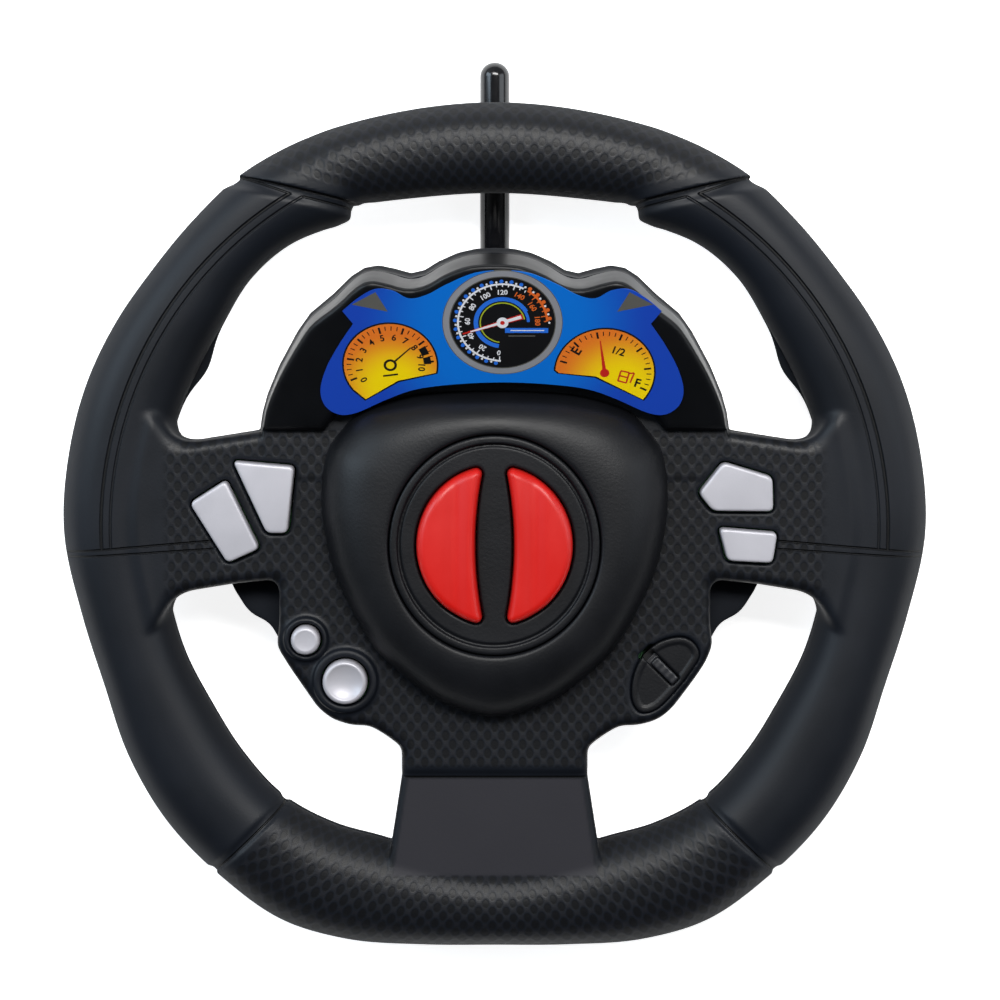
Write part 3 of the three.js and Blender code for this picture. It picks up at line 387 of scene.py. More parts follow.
def satin_shell_material():
    """Moulded ABS with a satin spark-eroded grain, and sunk oval dimples where the mould is textured.

    The eye gets a soft grey sheen on the smooth sides, and small glossy ovals in a duller net on the grips.
    The ovals are painted darker as painted shade in their hollows, and the net paler as a painted sheen; the
    seams are painted near black as painted shade in their grooves.
    """
    material, tree, join = new_material("satin_moulded_abs", 1.34)
    where, x, y, z = on_object(tree)
    across = node(tree, MATH, {0: x}, operation="ABSOLUTE")
    flat = node(tree, "ShaderNodeCombineXYZ", {0: x, 1: y})
    radius = node(tree, VECTOR, {0: flat}, 1, operation="LENGTH")

    grain = node(tree, ATTRIBUTE, output=1, attribute_name="grain")
    textured = node(tree, ATTRIBUTE, output=2, attribute_name="dimpled")
    plate = node(tree, ATTRIBUTE, output=2, attribute_name="plate")
    pitch = (1 / DIMPLE_PITCH[0], 1 / DIMPLE_PITCH[1], 0)
    size = (DIMPLE_PITCH[0] / DIMPLE_HALF[0], DIMPLE_PITCH[1] / DIMPLE_HALF[1], 0)
    cell = node(tree, VECTOR, {0: grain, 1: pitch}, operation="MULTIPLY")
    reach = []
    for shift in (0.0, 0.5):
        moved = node(tree, VECTOR, {0: cell, 1: (shift, shift, 0)})
        part = node(tree, VECTOR, {0: moved}, operation="FRACTION")
        centred = node(tree, VECTOR, {0: part, 1: (-0.5, -0.5, 0)})
        sized = node(tree, VECTOR, {0: centred, 1: size}, operation="MULTIPLY")
        reach.append(node(tree, VECTOR, {0: sized}, 1, operation="LENGTH"))
    nearest = node(tree, MATH, {0: reach[0], 1: reach[1]}, operation="MINIMUM")
    hollow = node(tree, RANGE, {0: nearest, 1: 1.12, 2: 0.72}, interpolation_type="SMOOTHSTEP")
    dimple = node(tree, MATH, {0: hollow, 1: textured}, operation="MULTIPLY")
    # the net between the ovals carries thin raised lines where three cells meet
    crest = node(tree, RANGE, {0: nearest, 1: 1.12, 2: 1.35}, interpolation_type="SMOOTHSTEP")
    net = node(tree, MATH, {0: crest, 1: textured}, operation="MULTIPLY")

    # slanting lines across the rim, each as a distance from it
    rise = node(tree, MATH, {0: z, 1: -RIM_MIDDLE_Z})
    tipped = node(tree, MATH, {0: rise, 1: -TOP_GRIP_TIP, 2: y}, operation="MULTIPLY_ADD")
    slope = node(tree, MATH, {0: across, 1: -TOP_GRIP_LINE[1], 2: tipped}, operation="MULTIPLY_ADD")
    grip_end = node(tree, MATH, {0: slope, 1: -TOP_GRIP_LINE[0]})
    panel_top = node(tree, MATH, {0: across, 1: -0.35, 2: tipped}, operation="MULTIPLY_ADD")
    panel_end = node(tree, MATH, {0: panel_top, 1: -54.0})
    low_slope = node(tree, MATH, {0: across, 1: -LOW_GRIP_LINE[1], 2: y}, operation="MULTIPLY_ADD")
    low_end = node(tree, MATH, {0: low_slope, 1: -LOW_GRIP_LINE[0]})
    upper_rise = node(tree, MATH, {0: across, 1: 0.085, 2: y}, operation="MULTIPLY_ADD")
    lower_rise = node(tree, MATH, {0: across, 1: 0.065, 2: y}, operation="MULTIPLY_ADD")

    # hairline seams: a line's value and shift, half its width, its depth, and the smooth steps that bound it;
    # each is bumped in and also painted near black as painted shade in its groove
    above_middle, upper, rim_only = (upper_rise, 2.9, 3.2), (y, 50.0, 54.0), (across, 57.5, 58.5)
    seam_groove_and_shade = None
    for line, shift, half_width, depth, bounds in (
        (radius, -81.1, 0.46, 1.0, [above_middle, (panel_end, 0.1, -0.1)]),
        (radius, -79.2, 0.38, 0.6, [above_middle, (grip_end, -1.3, -1.5)]),
        (panel_end, 0.0, 0.3, 0.9, [upper, (radius, 80.9, 81.2)]),
        (grip_end, 1.5, 0.3, 0.8, [upper, (radius, 79.4, 79.1)]),
        (grip_end, 0.2, 0.36, 1.0, [upper]),
        (upper_rise, -3.04, 0.3, 0.9, [rim_only]),
        (lower_rise, -0.19, 0.28, 0.8, [rim_only]),
        (low_end, -1.0, 0.36, 1.0, [(y, -40.0, -45.0)]),
        (y, 51.3, 0.32, 1.0, [(across, 19.0, 18.2)]),
    ):
        away = node(tree, MATH, {0: node(tree, MATH, {0: line, 1: shift})}, operation="ABSOLUTE")
        width = {0: away, 1: half_width, 2: half_width * 0.2, 4: depth}
        groove = node(tree, RANGE, width, interpolation_type="SMOOTHSTEP")
        for value, begins, full in bounds:
            step = node(tree, RANGE, {0: value, 1: begins, 2: full}, interpolation_type="SMOOTHSTEP")
            groove = node(tree, MATH, {0: groove, 1: step}, operation="MULTIPLY")
        seam_groove_and_shade = groove if seam_groove_and_shade is None else node(tree, MATH, {0: seam_groove_and_shade, 1: groove}, operation="MAXIMUM")

    fine = node(tree, NOISE, {"Vector": where, "Scale": 1 / GRAIN_SIZE, "Detail": 2.0})
    broad = node(tree, NOISE, {"Vector": where, "Scale": 1 / CLOUD_SIZE, "Detail": 3.0})
    plastic = node(tree, MIX, {0: broad, 6: linear("#0a0d12"), 7: linear("#10141c")}, 2, data_type="RGBA")
    # painted light: the net is painted paler (a painted sheen on its matte ridges) and the dimples darker
    # (painted shade in their glossy hollows)
    net_painted_sheen = node(tree, MIX, {0: net, 6: plastic, 7: linear("#14151a")}, 2, data_type="RGBA")
    sunk = node(tree, MIX, {0: dimple, 6: net_painted_sheen, 7: linear("#0a0b0e")}, 2, data_type="RGBA")
    plated = node(tree, MIX, {0: plate, 6: sunk, 7: linear("#242328")}, 2, data_type="RGBA")
    # the seams are painted near black: painted shade in their grooves
    colour = node(tree, MIX, {0: seam_groove_and_shade, 6: plated, 7: linear("#020203")}, 2, data_type="RGBA")
    worn = node(tree, RANGE, {0: broad, 1: 0.3, 2: 0.7, 3: 0.43, 4: 0.5})
    rough = node(tree, MATH, {0: dimple, 1: -0.14, 2: worn}, operation="MULTIPLY_ADD")
    rough = node(tree, MATH, {0: net, 1: -0.02, 2: rough}, operation="MULTIPLY_ADD")
    rough = node(tree, MATH, {0: plate, 1: 0.08, 2: rough}, operation="MULTIPLY_ADD")
    height = node(tree, MATH, {0: fine, 1: GRAIN_DEPTH}, operation="MULTIPLY")
    height = node(tree, MATH, {0: dimple, 1: -DIMPLE_DEPTH, 2: height}, operation="MULTIPLY_ADD")
    height = node(tree, MATH, {0: net, 1: NET_RISE, 2: height}, operation="MULTIPLY_ADD")
    height = node(tree, MATH, {0: seam_groove_and_shade, 1: -SEAM_DEPTH, 2: height}, operation="MULTIPLY_ADD")
    # the flanks beside the parting line are left dull from the mould
    from_parting = node(tree, MATH, {0: node(tree, MATH, {0: z, 1: -PARTING_Z})}, operation="ABSOLUTE")
    flank = node(tree, RANGE, {0: from_parting, 1: 3.5, 2: 9.5, 3: 0.9, 4: 0.4})
    rough = node(tree, MATH, {0: rough, 1: flank}, operation="MAXIMUM")
    normal = node(tree, "ShaderNodeBump", {"Height": height, "Distance": MM})
    join(Base_Color=colour, Roughness=rough, Normal=normal)
    return material


def moulded_material(name, dark, light, roughness, grain_mm, grain_depth, ior=1.5, **values):
    """Moulded, printed or painted: two close shades in soft clouds, and an even grain grain_mm across."""
    material, tree, join = new_material(name, ior, **values)
    where = on_object(tree)[0]
    broad = node(tree, NOISE, {"Vector": where, "Scale": 1 / 9.0, "Detail": 3.0})
    fine = node(tree, NOISE, {"Vector": where, "Scale": 1 / grain_mm, "Detail": 2.0})
    colour = node(tree, MIX, {0: broad, 6: linear(dark), 7: linear(light)}, 2, data_type="RGBA")
    rough = node(tree, RANGE, {0: broad, 1: 0.3, 2: 0.7, 3: roughness - 0.03, 4: roughness + 0.04})
    bump = node(tree, "ShaderNodeBump", {"Height": fine, "Distance": grain_depth * MM})
    join(Base_Color=colour, Roughness=rough, Normal=bump)
    return material


def faded_print_material(name, near, far, centre, start, end, roughness):
    """Gloss vinyl printed in two inks that fade into each other with distance from a point in millimetres."""
    material, tree, join = new_material(name, 1.5)
    where = on_object(tree)[0]
    away = node(tree, VECTOR, {0: where, 1: centre}, 1, operation="DISTANCE")
    fade = node(tree, RANGE, {0: away, 1: start, 2: end}, interpolation_type="SMOOTHSTEP")
    colour = node(tree, MIX, {0: fade, 6: linear(near), 7: linear(far)}, 2, data_type="RGBA")
    film = node(tree, NOISE, {"Vector": where, "Scale": 1 / 0.8, "Detail": 2.0})
    rough = node(tree, RANGE, {0: film, 1: 0.2, 2: 0.8, 3: roughness - 0.02, 4: roughness + 0.03})
    bump = node(tree, "ShaderNodeBump", {"Height": film, "Distance": 0.003 * MM})
    join(Base_Color=colour, Roughness=rough, Normal=bump)
    return material


MATERIALS = {
    "shell": satin_shell_material(),
    # the cushion and bezel are the same ABS with a coarser sparked grain that scatters the highlight
    "pad": moulded_material("grained_abs_cushion", "#090a0d", "#0e0f13", 0.44, 0.55, 0.03, 1.34),
    # the cowl comes from a polished mould, so its edges shine
    "cowl": moulded_material("satin_abs_cowl", "#07080a", "#0c0d10", 0.36, 0.6, 0.006, 1.3),
    "red": moulded_material("red_satin_abs", "#b8110b", "#c2160f", 0.38, 0.6, 0.006, 1.45),
    # lacquer with fine aluminium flake: pale, even, with a wide soft highlight
    "silver": moulded_material("silver_lacquered_abs", "#a8a6ac", "#b7b5bb", 0.42, 0.4, 0.01, Metallic=0.25),
    "gloss": moulded_material("polished_black_abs", "#08080a", "#0c0c0f", 0.16, 0.8, 0.002),
    "slider": moulded_material("satin_abs_slider", "#17181c", "#1e1f24", 0.42, 0.4, 0.01),
    "blue": faded_print_material(
        "printed_vinyl_blue", "#0063bd", "#123ca2", (1.8, 43.0, 40.0), 14.0, 30.0, 0.34),
    # each small dial runs from yellow at its foot to orange at its crown
    "left_dial": faded_print_material(
        "printed_dial_left", "#e2c400", "#cf6a1e", (-20.4, 31.0, 33.0), 3.5, 12.5, 0.34),
    "right_dial": faded_print_material(
        "printed_dial_right", "#e2c400", "#cf6a1e", (26.0, 30.0, 33.0), 4.0, 14.0, 0.34),
    "ink_black": moulded_material("printed_ink_black", "#08080a", "#0c0c0e", 0.34, 0.5, 0.002),
    "ink_white": moulded_material("printed_ink_white", "#c8c8cc", "#d2d2d6", 0.34, 0.5, 0.002),
    "ink_red": moulded_material("printed_ink_red", "#a81812", "#b8221a", 0.34, 0.5, 0.002),
    "ink_orange": moulded_material("printed_ink_orange", "#c0541c", "#cb6022", 0.34, 0.5, 0.002),
    "ink_blue": moulded_material("printed_ink_blue", "#1c5cc0", "#2466c8", 0.34, 0.5, 0.002),
    "ink_grey": moulded_material("printed_ink_grey", "#4d4c48", "#565550", 0.34, 0.5, 0.002),
    "ink_green": moulded_material("printed_ink_green", "#8f9a24", "#9ba62a", 0.34, 0.5, 0.002),
    # hot-stamped foil look: pale where it faces the light
    "ink_silver": moulded_material(
        "printed_metallic_silver", "#8d8e94", "#a5a6ac", 0.3, 0.5, 0.002, Metallic=0.4),
    "steel": moulded_material("zinc_plated_steel", "#9a9c9f", "#b5b7b9", 0.3, 0.4, 0.004, Metallic=1.0),
    "rubber": moulded_material("silicone_rubber", "#8c8c85", "#9a9a92", 0.7, 0.5, 0.01, 1.41),
    "board": moulded_material("paper_laminate_board", "#24552f", "#2c6b3a", 0.5, 0.5, 0.01),
    "copper": moulded_material("enamelled_copper_wire", "#a05c30", "#b8733f", 0.3, 0.3, 0.01, Metallic=1.0),
    "jacket": moulded_material("printed_cell_jacket", "#335d8f", "#3f6fa8", 0.35, 0.8, 0.003),
    "red_wire": moulded_material("pvc_red_insulation", "#a01b1b", "#b32424", 0.45, 0.5, 0.004),
    "black_wire": moulded_material("pvc_black_insulation", "#161616", "#1d1d1d", 0.45, 0.5, 0.004),
}


def finish(piece, material, body, *nodes, slot=None):
    """Gives a piece its material, its body and the frame nodes it stands for."""
    if material is not None:
        piece.data.materials.clear()
        piece.data.materials.append(MATERIALS[material])
    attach(piece, body)
    if nodes:
        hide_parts(*nodes)
    return piece


# ------------------------------------------------------------------ rim
# angle up from the sideways axis in degrees, inner radius, outer radius
RIM_STATIONS = np.array([
    (-90, 71.0, 88.1), (-80, 70.2, 89.4), (-70, 69.6, 92.4), (-62, 71.0, 94.1), (-52, 72.0, 93.4),
    (-42, 71.0, 92.5), (-32, 69.9, 90.5), (-22, 69.9, 88.1), (-12, 69.6, 88.1), (0, 69.6, 89.85),
    (10, 69.5, 90.0), (20, 69.8, 90.0), (29, 69.9, 89.5), (37, 70.6, 89.0), (46, 72.4, 89.4),
    (55, 72.4, 90.2), (60, 71.3, 90.0), (63, 70.6, 89.8), (65.2, 70.9, 89.6),
    (66.4, 72.2, 89.5), (67.6, 72.6, 89.4),
    (70, 71.9, 89.1), (74, 70.9, 88.7), (90, 69.5, 88.2),
])
RIM_SQUARENESS = 2.4
GRIP_STARTS_Y = 40.0  # both grips lie farther than this from the middle
THUMB_SWELL = 1.6  # the back of the rim swells inwards this much behind each thumb
THUMB_AT, THUMB_SPREAD = 29, 4.5  # degrees


def rim_radius(angle, column):
    """The inner (column 1) or outer (column 2) radius at an angle, flowing through the stations."""
    a, r = RIM_STATIONS[:, 0], RIM_STATIONS[:, column]
    slope = np.gradient(r, a)
    slope[[0, -1]] = 0
    i = np.clip(np.searchsorted(a, angle) - 1, 0, len(a) - 2)
    width = a[i + 1] - a[i]
    t = (angle - a[i]) / width
    return (
        (2 * t**3 - 3 * t**2 + 1) * r[i]
        + (t**3 - 2 * t**2 + t) * width * slope[i]
        + (3 * t**2 - 2 * t**3) * r[i + 1]
        + (t**3 - t**2) * width * slope[i + 1]
    )


def top_grip_depth(x, y, z):
    """How far a point lies inside the top grip, from its slanting end."""
    a, b = TOP_GRIP_LINE
    return (y - TOP_GRIP_TIP * (z - RIM_MIDDLE_Z) - a - b * np.abs(x)) / math.hypot(1, b)


def low_grip_depth(x, y):
    """How far a point lies inside the bottom grip."""
    a, b = LOW_GRIP_LINE
    return (a + b * np.abs(x) - y) / math.hypot(1, b)


def rim_section(x, y, thumb=0.0):
    """Plan values of the rim tube: distance from its middle line and half its width."""
    angle = np.degrees(np.arctan2(y, np.abs(x)))
    radius = np.hypot(x, y)
    inner = rim_radius(angle, 1) - thumb * np.exp(-(((angle - THUMB_AT) / THUMB_SPREAD) ** 2))
    outer = rim_radius(angle, 2)
    return radius - (inner + outer) / 2, (outer - inner) / 2


def rim_field(x, y, z, thumb=0.0):
    """The rim tube, drawn in a little just before each grip so that the grip stands proud."""
    off, half = rim_section(x, y, thumb)
    top = top_grip_depth(x, y, z)
    shrink = 0.75 * ease(top, -3.4, -1.2) * ease(top, 0.15, -0.2) * (y > GRIP_STARTS_Y)
    low = low_grip_depth(x, y)
    shrink = shrink + 0.5 * ease(low, -2.6, -1.2) * ease(low, 0.15, -0.2) * (y < -GRIP_STARTS_Y)
    n = RIM_SQUARENESS
    u = np.abs(off) / (half - shrink)
    w = np.abs(z - RIM_MIDDLE_Z) / (RIM_HALF_DEPTH - shrink)
    return ((u**n + w**n) ** (1 / n) - 1) * RIM_HALF_DEPTH


# ------------------------------------------------------------------ plan outlines, right-hand halves
SPOKE = outline_field(mirrored([
    (0, 20.5), (49, 20.5), (76, 16.2), (76, -14.8), (65, -12.8), (54, -11), (44, -10), (0, -10),
]))
HUB = outline_field(rounded(mirrored([
    (0, 12), (44.6, 12), (44.6, -19.5), (45.2, -24), (42.3, -28.7), (39, -33.5), (36.7, -36.9), (33.7, -39.3),
    (29.6, -40.6), (26, -40.6), (22.6, -42.6), (19.2, -45.2), (18.9, -50.9), (0, -50.9),
]), 1.6, 4))
STEM = outline_field(mirrored([(0, -40), (18.8, -40), (19.3, -51), (23.5, -78), (0, -78)]))
BACK_HUB = outline_field(flowing(mirrored([
    (0, 20), (30, 20), (46, 19), (53.5, 10), (55.4, -4), (55.2, -11), (53.3, -15), (51, -18), (47.2, -20.4),
    (44.6, -24.5), (40, -31), (36.5, -35.5), (33, -38.4), (29.6, -39.6), (24, -40), (18.4, -44.5), (8, -44.5),
]), 4))
DASH_HALF = [
    (0, 30), (13.5, 29.4), (22, 28.4), (27.2, 27), (32.4, 22.6), (34.4, 19.8), (49, 19.8), (48.4, 24),
    (47.3, 28), (44.8, 34), (41, 41), (38.3, 44.8), (33.5, 48.8), (29.8, 52.4), (27, 54.2), (24, 54.7),
    (20.6, 54), (17.3, 53.1), (14.6, 53.7), (11.5, 55.6), (7.6, 57.3), (4, 58.1), (0, 58.3),
]


def dash_outline():
    """Straight where the cowl meets the spokes, flowing round its crown."""
    full = np.array(mirrored(DASH_HALF))
    smooth = flowing(full, 6)
    keep = smooth[smooth[:, 1] > 24.5]
    right = keep[keep[:, 0] >= 0]
    crown = right[np.argsort(np.arctan2(right[:, 1] - 20, right[:, 0]))]
    crown = crown[(crown[:, 0] > 33) | (crown[:, 1] > 40)]
    left = crown[::-1] * np.array([-1, 1])
    foot_right = np.array([(34.4, 19.8), (49.0, 19.8)])
    front_right = np.array(DASH_HALF[:5])
    front_left = np.concatenate([[(-49.0, 19.8), (-34.4, 19.8)], front_right[:0:-1] * np.array([-1, 1])])
    return np.concatenate([foot_right, crown, left, front_left, front_right])


DASH = outline_field(dash_outline())
DASH_DECK = outline_field(mirrored([(0, 10), (47.8, 10), (49, 19.8)] + DASH_HALF[7:]))

KEYS = {
    "silver_button_left_outer": [(-62.7, 6), (-55.2, 10.8), (-48.4, -3.4), (-55, -6.4)],
    "silver_button_left_inner": [(-53.8, 14.7), (-41.1, 13.6), (-42.6, -0.2), (-46.9, -0.2)],
    "silver_button_right_upper": [(46.9, 14.5), (57.1, 11.4), (57.3, 4.3), (44.8, 4.4), (41.9, 8.1)],
    "silver_button_right_lower": [(46.1, 0.9), (58.2, -0.1), (57.2, -6.4), (47.9, -5.9)],
}
KEY_CORNER = 1.2
KEY_GAP = 0.4
KEY_FIELDS = {name: outline_field(rounded(points, KEY_CORNER)) for name, points in KEYS.items()}
ROUND_KEYS = {  # centre, radius of the key, radius of the raised ring round it
    "round_button_large": ((-30.9, -31.0), 4.6, 6.7),
    "round_button_small": ((-39.0, -22.3), 3.0, 4.6),
}
SWITCH_PLATE = outline_field(flowing([
    (37.9, -21.9), (40.9, -22.9), (42.2, -25.6), (40.5, -28.9), (37.3, -33.0), (33.6, -36.7),
    (30.4, -37.5), (28.6, -35.2), (28.5, -31.2), (30.0, -26.9), (33.4, -23.3),
], 8))
SLOT_AT = (34.5, -28.2)
SLOT_TURN = math.radians(-45)
CASE_SCREWS = {
    "case_screw_top_right": (47.81, 65.81), "case_screw_top_left": (-47.81, 65.81),
    "case_screw_bottom_right": (54.8, -60.87), "case_screw_bottom_left": (-54.8, -60.87),
    "case_screw_hub_right": (42.5, 31.0), "case_screw_hub_left": (-42.5, 31.0),
    "case_screw_stem": (0.0, -58.0),
}


def along_slot(x, y):
    """Coordinates along and across the power switch slot."""
    c, s = math.cos(SLOT_TURN), math.sin(SLOT_TURN)
    dx, dy = x - SLOT_AT[0], y - SLOT_AT[1]
    return dx * c + dy * s, -dx * s + dy * c


def half_moon(side, inset=0.0):
    """Outline of one red button: an outer arc, and an inner edge that bows away from the middle bar."""
    wide, tall = 15.85 - inset, 16.2 - inset
    start = math.acos((2.6 + inset) / wide)
    arc = [(wide * math.cos(a), tall * math.sin(a)) for a in np.linspace(-start, start, 60)]
    reach = tall * math.sin(start)
    bar = [(4.0 + inset - 1.4 * t * t, reach * t) for t in np.linspace(1, -1, 26)[1:-1]]
    return [(side * x, y + BEZEL_Y) for x, y in arc + bar]


MOON_CORNER = 1.15
MOONS = {side: outline_field(half_moon(side, MOON_CORNER)) for side in (-1, 1)}


# ------------------------------------------------------------------ front moulding
SPOKE_ENDS_X = 50.0  # the fillets between spoke and rim lie farther out than this
CORNER_FILLET = 7.0
SHELL_LOW, SHELL_HIGH = (-90.2, -88.4), (90.2, 88.4)  # plan corners of the room for both shells


def deck_plan(x, y):
    """Spokes and hub as one plate, with lobes round the keys and the switch."""
    plan = blend(SPOKE(x, y), HUB(x, y), 3.0)
    for centre, radius, boss in ROUND_KEYS.values():
        plan = np.minimum(plan, disc(x, y, centre, boss + 0.8))
    return blend(plan, SWITCH_PLATE(x, y) - 1.3, 2.0)


def spread_to_rim(plate, x, off, rim_plan):
    """A plate's plan run out to the rim's middle line, with filleted corners where they meet."""
    inwards = rim_plan + 0.3 + 0.1 * np.maximum(plate, 0) ** 2
    return np.maximum(np.where(np.abs(x) > SPOKE_ENDS_X, blend(plate, inwards, CORNER_FILLET), plate), off)


def front_field(x, y, z):
    off, half = rim_section(x, y)
    rim_plan = np.abs(off) - half
    solid = rim_field(x, y, z)
    # the spokes run flat out to the rim and dip under its crest
    deck = deck_plan(x, y)
    spread = spread_to_rim(deck, x, off, rim_plan)
    sink = 2.5 * ease(off, -6.5, -2.0)
    solid = blend(solid, slab(spread, z + sink, 8.0, DECK_Z - 0.1, 2.2), 2.6)
    stem = np.maximum(STEM(x, y), off + 3.0)
    solid = blend(solid, slab(stem, z, 8.0, STEM_Z, 1.3), 0.8)
    dash = DASH_DECK(x, y) + DASH_DRAFT * (z - PARTING_Z)
    solid = blend(solid, slab(dash, z, 8.0, DECK_Z, 0.25), 0.3)
    for centre, radius, boss in ROUND_KEYS.values():
        solid = blend(solid, slab(disc(x, y, centre, boss), z, DEEP_Z, DECK_Z + 0.9, 0.7), 0.7)
    # hollow under the hub and spokes
    room = np.minimum(deck + 2.2, DASH_DECK(x, y) + 2.6)
    room = np.maximum(room, 0.5 - rim_plan)
    solid = cut(solid, slab(room, z, 5.0, DECK_UNDER_Z, 0.5), 0.5)
    for field in KEY_FIELDS.values():
        solid = cut(solid, slab(field(x, y) - KEY_GAP, z, DEEP_Z, OPEN_Z, 0.3), 0.5)
    for centre, radius, boss in ROUND_KEYS.values():
        solid = cut(solid, slab(disc(x, y, centre, radius + KEY_GAP), z, DEEP_Z, OPEN_Z, 0.3), 0.6)
    solid = cut(solid, slab(disc(x, y, (0, BEZEL_Y), 18.4), z, DEEP_Z, OPEN_Z, 0.3), 0.4)
    solid = cut(solid, slab(SWITCH_PLATE(x, y) - 0.2, z, DECK_Z - 0.9, OPEN_Z, 0.3), 0.5)
    along, aside = along_slot(x, y)
    solid = cut(solid, slab(block(along, aside, (0, 0), (5.2, 2.1), 0.8), z, DEEP_Z, OPEN_Z, 0.3), 0.3)
    return -blend(-solid, z - (PARTING_Z + 0.1), 0.5)


def grip_grain(points):
    """Where the dimple pattern sits on each point, in millimetres, and how strongly it shows."""
    x, y, z = points.T
    off, half = rim_section(x, y)
    rim_plan = np.abs(off) - half
    ring_radius, tube_radius = 80.0, 10.5  # turn the two angles round the rim into lengths
    round_ring = np.arctan2(y, x) * ring_radius
    round_tube = np.arctan2((z - RIM_MIDDLE_Z) / RIM_HALF_DEPTH, off / half) * tube_radius
    on_tube = (rim_plan < 0.6) & (np.abs(y) > 45)
    over, along = np.where(on_tube, round_ring, x), np.where(on_tube, round_tube, y)
    grain = np.stack([over, along, np.zeros(len(x))], 1)
    top = ease(top_grip_depth(x, y, z), 1.6, 3.0) * (y > GRIP_STARTS_Y)
    low = ease(low_grip_depth(x, y), 1.0, 2.2) * (y < -GRIP_STARTS_Y)
    beside_plate = np.maximum(ease(np.abs(x), 20.5, 21.5), ease(y, -71.9, -72.4))
    grips = np.maximum(top, low * beside_plate) * on_tube
    deck = ease(np.abs(x), 69.0, 66.0) * ease(deck_plan(x, y), 0.5, 0.2)
    deck = deck * (y > -50.2) * ease(z, 20.5, 22.5)
    for centre, radius, boss in ROUND_KEYS.values():
        deck = deck * ease(disc(x, y, centre, boss + 0.5), 0.0, 0.8)
    deck = deck * ease(SWITCH_PLATE(x, y), 0.9, 1.6)
    for field in KEY_FIELDS.values():
        deck = deck * ease(field(x, y), 0.9, 1.5)
    deck = deck * ease(y, -49.4, -48.6)
    return grain, np.maximum(grips, deck * ~on_tube)


def make_front():
    front = mould("front_moulding", front_field, (*SHELL_LOW, 17.4), (*SHELL_HIGH, 28.2), 0.5)
    grain, dimpled = grip_grain(vertices_of(front))
    remember(front, "grain", grain)
    remember(front, "dimpled", dimpled)
    # the lower spoke's plate has the paler, duller grain
    x, y, z = vertices_of(front).T
    plate = ease(STEM(x, y), -1.0, -1.8) * ease(y, -51.2, -51.7) * ease(y, -72.2, -71.8)
    remember(front, "plate", plate * (z > 24.0))
    return finish(front, "shell", "housing", "front_shell", slot="shell_plastic")


# ------------------------------------------------------------------ back moulding
def tower_field(x, y, z):
    """The block behind the cowl that holds the antenna."""
    return slab(block(x, y, (0, 31.5), (6.4, 19.4), 2.0), z, 0.3, 14.0, 1.6)


def cell_room(x, y, z):
    return slab(block(x, y, (0, BOX_Y), BOX_HALF, 1.5), z, 0.5, 17.0, 0.3)


def back_field(x, y, z):
    off, half = rim_section(x, y, THUMB_SWELL)
    rim_plan = np.abs(off) - half
    solid = rim_field(x, y, z, THUMB_SWELL)
    spread = spread_to_rim(SPOKE(x, y) + 0.4, x, off, rim_plan)
    solid = blend(solid, slab(spread, z, 11.5, 26.0, 2.0), 1.0)
    stem = np.maximum(STEM(x, y) + 0.4, off)
    solid = blend(solid, slab(stem, z, BACK_FLOOR_Z + 1.5, 26.0, 1.8), 1.0)
    dash = DASH_DECK(x, y) + 0.5 - 0.08 * (z - PARTING_Z)
    hub = blend(BACK_HUB(x, y), dash, 4.0)
    solid = blend(solid, slab(hub, z, BACK_FLOOR_Z, 26.0, 2.6), 1.6)
    box_plan = block(x, y, (0, BOX_Y), (BOX_HALF[0] + 3.3, BOX_HALF[1] + 3.3), 4.6) - 0.12 * z
    solid = blend(solid, slab(box_plan, z, 0.0, 18.4, 0.8), 1.5)
    boss = disc(x, y, DOOR_EAR, 5.0) - 0.1 * z
    solid = blend(solid, slab(boss, z, 0.0, 12.0, 0.8), 1.2)
    solid = blend(solid, tower_field(x, y, z), 1.5)
    # room inside for the boards and cells
    room = np.minimum(blend(SPOKE(x, y), hub, 1.0) + 2.4, 30.0)
    room = np.maximum(room, -rim_plan + 0.5)
    room = np.maximum(room, np.minimum(deck_plan(x, y), DASH_DECK(x, y)) + 2.0)
    hollow = slab(room, z, BACK_FLOOR_Z + 4.4, 30.0, 0.6)
    battery_box = slab(box_plan + 0.4, z, -2.0, 18.3, 0.4)
    solid = cut(solid, np.maximum(hollow, -battery_box), 0.4)
    solid = cut(solid, cell_room(x, y, z), 0.3)
    door = np.minimum(
        block(x, y, (0, BOX_Y), (BOX_HALF[0] + 1.5, BOX_HALF[1] + 1.5), 2.2),
        disc(x, y, DOOR_EAR, 3.3),
    )
    solid = cut(solid, slab(door, z, -4.0, 1.9, 0.2), 0.4)
    solid = cut(solid, slab(disc(x, y, DOOR_EAR, 1.5), z, -4.0, 8.0, 0.2), 0.3)
    for centre in CASE_SCREWS.values():
        solid = cut(solid, slab(disc(x, y, centre, 3.0), z, -4.0, 12.5, 0.3), 0.5)
    bore = np.hypot(x, z - ANTENNA_Z) - (ANTENNA_RADIUS + 0.3)
    solid = cut(solid, np.maximum(np.maximum(bore, 26 - y), y - 60), 0.4)
    solid = -blend(-solid, (PARTING_Z - 0.1) - z, 0.5)
    return np.maximum(solid, 0.02 - z)  # nothing reaches the table


def make_back():
    def field(x, y, z):
        box_plan = block(x, y, (0, BOX_Y), (BOX_HALF[0] + 3.0, BOX_HALF[1] + 3.0), 3.0)
        ceiling = slab(box_plan, z, 12.0, 18.4, 0.3)
        return np.minimum(back_field(x, y, z), cut(ceiling, cell_room(x, y, z), 0.3))

    back = mould("back_moulding", field, (*SHELL_LOW, 0.0), (*SHELL_HIGH, 18.5), 0.6)
    plain_shell(back)
    return finish(back, "shell", "housing", "back_shell", slot="shell_plastic")


